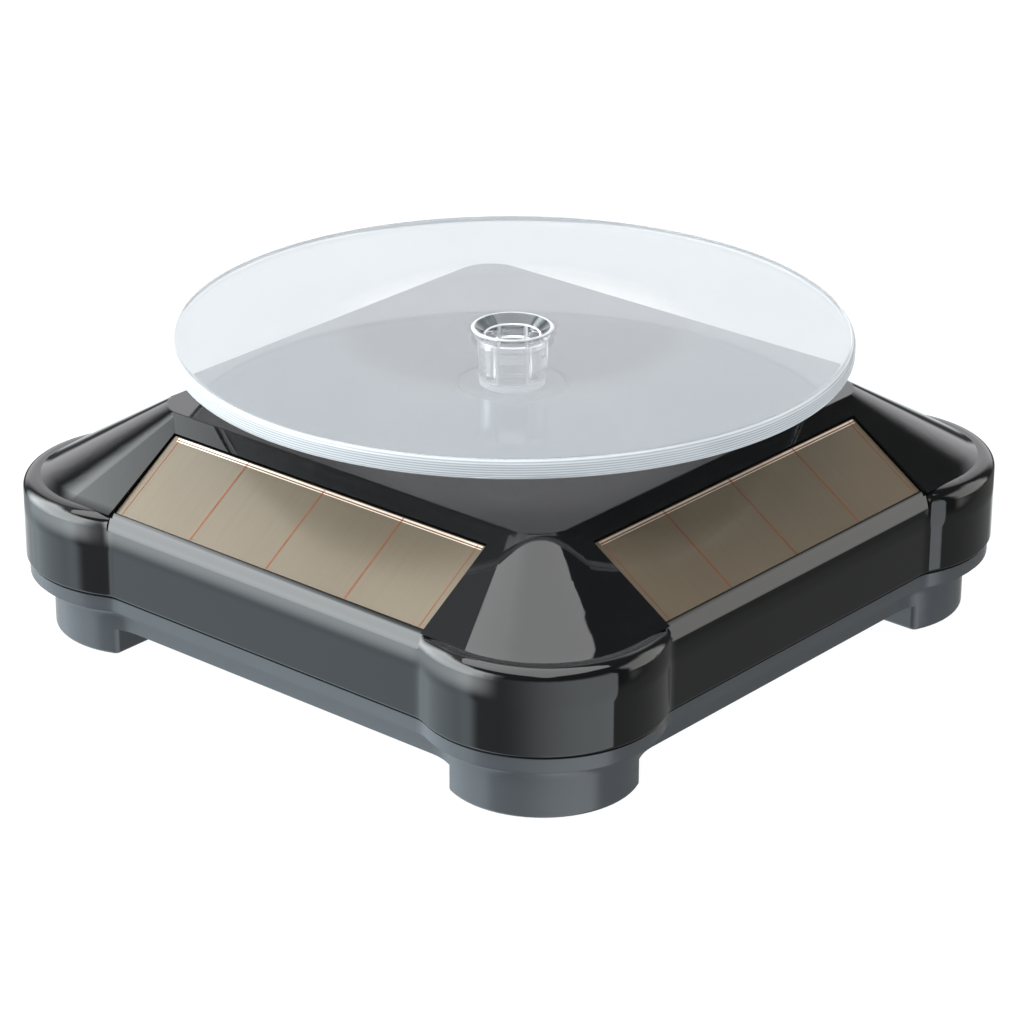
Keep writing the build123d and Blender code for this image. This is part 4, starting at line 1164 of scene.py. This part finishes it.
@dataclass
class Studio:
    """Camera, pale floor and the lights all round."""

    camera_place: tuple[float, float, float] = (0.31288, -0.36526, 0.22434)
    camera_right: tuple[float, float, float] = (0.75745, 0.65289, 0.0026)
    camera_up: tuple[float, float, float] = (-0.2624, 0.3008, 0.9169)
    lens: float = 138.39
    sensor: float = 36.0
    floor_half: float = 6.0
    floor_drop: float = 0.0001
    floor_glow: float = 0.985
    fill: float = 0.1
    least_level: float = 0.001
    light_map: int = 1024
    lights: tuple[Union[WallLight, CeilingLight], ...] = (
        WallLight(
            "left_wash", (-180.0, -112.0), (-89.0, 20.0), 1.55, (0.80, 0.93, 1.0),
            heading_soft=(10.0, 6.0), height_soft=(1.0, 12.0),
        ),
        WallLight(
            "left_glow", (-178.0, -100.0), (4.0, 47.0), 8.5, (0.93, 0.98, 1.0),
            heading_soft=(10.0, 16.0), height_soft=(18.0, 4.0),
        ),
        WallLight(
            "front_patch", (-50.0, 16.0), (-89.0, 30.0), 2.1, (0.9, 0.96, 1.0),
            heading_soft=(40.0, 1.0), height_soft=(1.0, 10.0),
        ),
        WallLight(
            "right_low", (16.0, 100.0), (-89.0, 0.0), 0.22, (1.0, 1.0, 1.0),
            heading_soft=(1.0, 10.0), height_soft=(1.0, 6.0),
        ),
        WallLight(
            "right_high", (30.0, 75.0), (4.0, 42.0), 2.4, (1.0, 0.99, 0.96),
            heading_soft=(5.0, 5.0), height_soft=(5.0, 5.0),
        ),
        WallLight(
            "slope_fill", (170.0, 215.0), (40.0, 75.0), 0.5, (0.95, 0.98, 1.0),
            heading_soft=(8.0, 8.0), height_soft=(5.0, 5.0),
        ),
        WallLight(
            "back_wall", (95.0, 165.0), (3.0, 50.0), 1.45, (0.98, 0.97, 1.0),
            heading_soft=(8.0, 8.0), height_soft=(3.0, 6.0),
        ),
        WallLight(
            "back_low", (105.0, 180.0), (-89.0, -8.0), 0.8, (0.90, 0.97, 1.0),
            heading_soft=(12.0, 6.0), height_soft=(1.0, 4.0),
        ),
        WallLight(
            "corner_fill", (-125.0, -40.0), (-89.0, 30.0), 0.3, (0.9, 0.95, 1.0),
            heading_soft=(5.0, 20.0), height_soft=(1.0, 6.0),
        ),
        CeilingLight("overhead", (-0.70, 0.45), (-0.45, 0.47), 3.7, 0.012),
    )

    def build(self) -> None:
        """Make the camera, floor and sky."""
        self._camera()
        self._floor()
        self._sky()
        scene = bpy.context.scene
        scene.view_settings.view_transform = "Standard"
        scene.view_settings.look = "None"

    def _camera(self) -> None:
        """The camera, level but for a slight roll."""
        data = bpy.data.cameras.new("studio_camera")
        data.lens = self.lens
        data.sensor_width = self.sensor
        data.clip_start = 0.01
        data.clip_end = 50.0
        camera = bpy.data.objects.new("studio_camera", data)
        bpy.context.scene.collection.objects.link(camera)
        right = Vector(self.camera_right).normalized()
        up = Vector(self.camera_up)
        up = (up - right * up.dot(right)).normalized()
        back = right.cross(up)
        turn = Matrix((right, up, back)).transposed().to_4x4()
        camera.matrix_world = Matrix.Translation(self.camera_place) @ turn
        bpy.context.scene.camera = camera

    def _floor(self) -> None:
        """The pale floor, seen from above only; the sky's lower half lights the object instead."""
        mesh = bmesh.new()
        half = self.floor_half
        corners = ((-half, -half), (half, -half), (half, half), (-half, half))
        mesh.faces.new([mesh.verts.new((x, y, -self.floor_drop)) for x, y in corners])
        data = bpy.data.meshes.new("floor")
        mesh.to_mesh(data)
        mesh.free()
        floor = bpy.data.objects.new("floor", data)
        bpy.context.scene.collection.objects.link(floor)
        data.materials.append(self._floor_material())
        floor.visible_glossy = False
        floor.visible_diffuse = False

    def _floor_material(self) -> bpy.types.Material:
        """White paper that glows a little, clear from below.

        Returns:
            The material.
        """
        made = bpy.data.materials.new("floor_paper")
        made.use_nodes = True
        graph = Graph(made.node_tree)
        output = graph.node("ShaderNodeOutputMaterial")
        grain = graph.noise(graph.place(), 400.0, 3.0)
        paper = graph.node("ShaderNodeBsdfPrincipled", inputs={
            "Base Color": graph.mix(grain, (0.02, 0.02, 0.02), (0.018, 0.018, 0.018)),
            "Roughness": 0.9,
            "Emission Color": (1.0, 1.0, 1.0, 1.0),
            "Emission Strength": self.floor_glow,
        })
        clear = graph.node("ShaderNodeBsdfTransparent")
        behind = graph.node("ShaderNodeNewGeometry").outputs["Backfacing"]
        both = graph.node("ShaderNodeMixShader", inputs={
            0: behind, 1: paper.outputs[0], 2: clear.outputs[0],
        })
        graph.tree.links.new(both.outputs[0], output.inputs["Surface"])
        return made

    def _sky(self) -> None:
        """The lights all round, as one world shader."""
        world = bpy.data.worlds.new("studio_lights")
        bpy.context.scene.world = world
        world.use_nodes = True
        graph = Graph(world.node_tree)
        output = graph.node("ShaderNodeOutputWorld")
        part = graph.parts(graph.node("ShaderNodeTexCoord").outputs["Generated"])
        ground = part[Along.X] * part[Along.X] + part[Along.Y] * part[Along.Y]
        level = graph.maths("MAXIMUM", graph.maths("SQRT", ground), self.least_level)
        total: Any = (self.fill,) * 3
        for light in self.lights:
            glow = light.glow(graph, part, level)
            tint = graph.node("ShaderNodeVectorMath", {"operation": "SCALE"}, {
                0: light.colour, "Scale": glow,
            }).outputs[0]
            total = graph.node("ShaderNodeVectorMath", {"operation": "ADD"}, {
                0: total, 1: tint,
            }).outputs[0]
        background = graph.node("ShaderNodeBackground", inputs={"Color": total, "Strength": 1.0})
        graph.tree.links.new(background.outputs[0], output.inputs["Surface"])
        world.cycles.sampling_method = "MANUAL"
        world.cycles.sample_map_resolution = self.light_map


def main() -> None:
    """Build the studio and every sub-assembly in order."""
    logging.basicConfig(level=logging.INFO, format="%(message)s")
    Studio().build()
    for assembly in (Casing(), SolarRoof(), DisplayDrive(), GearTrain(), Motor(), PowerSupply()):
        assembly.build()
        LOG.info("%s built", type(assembly).__name__)


if __name__ == "__main__":
    main()
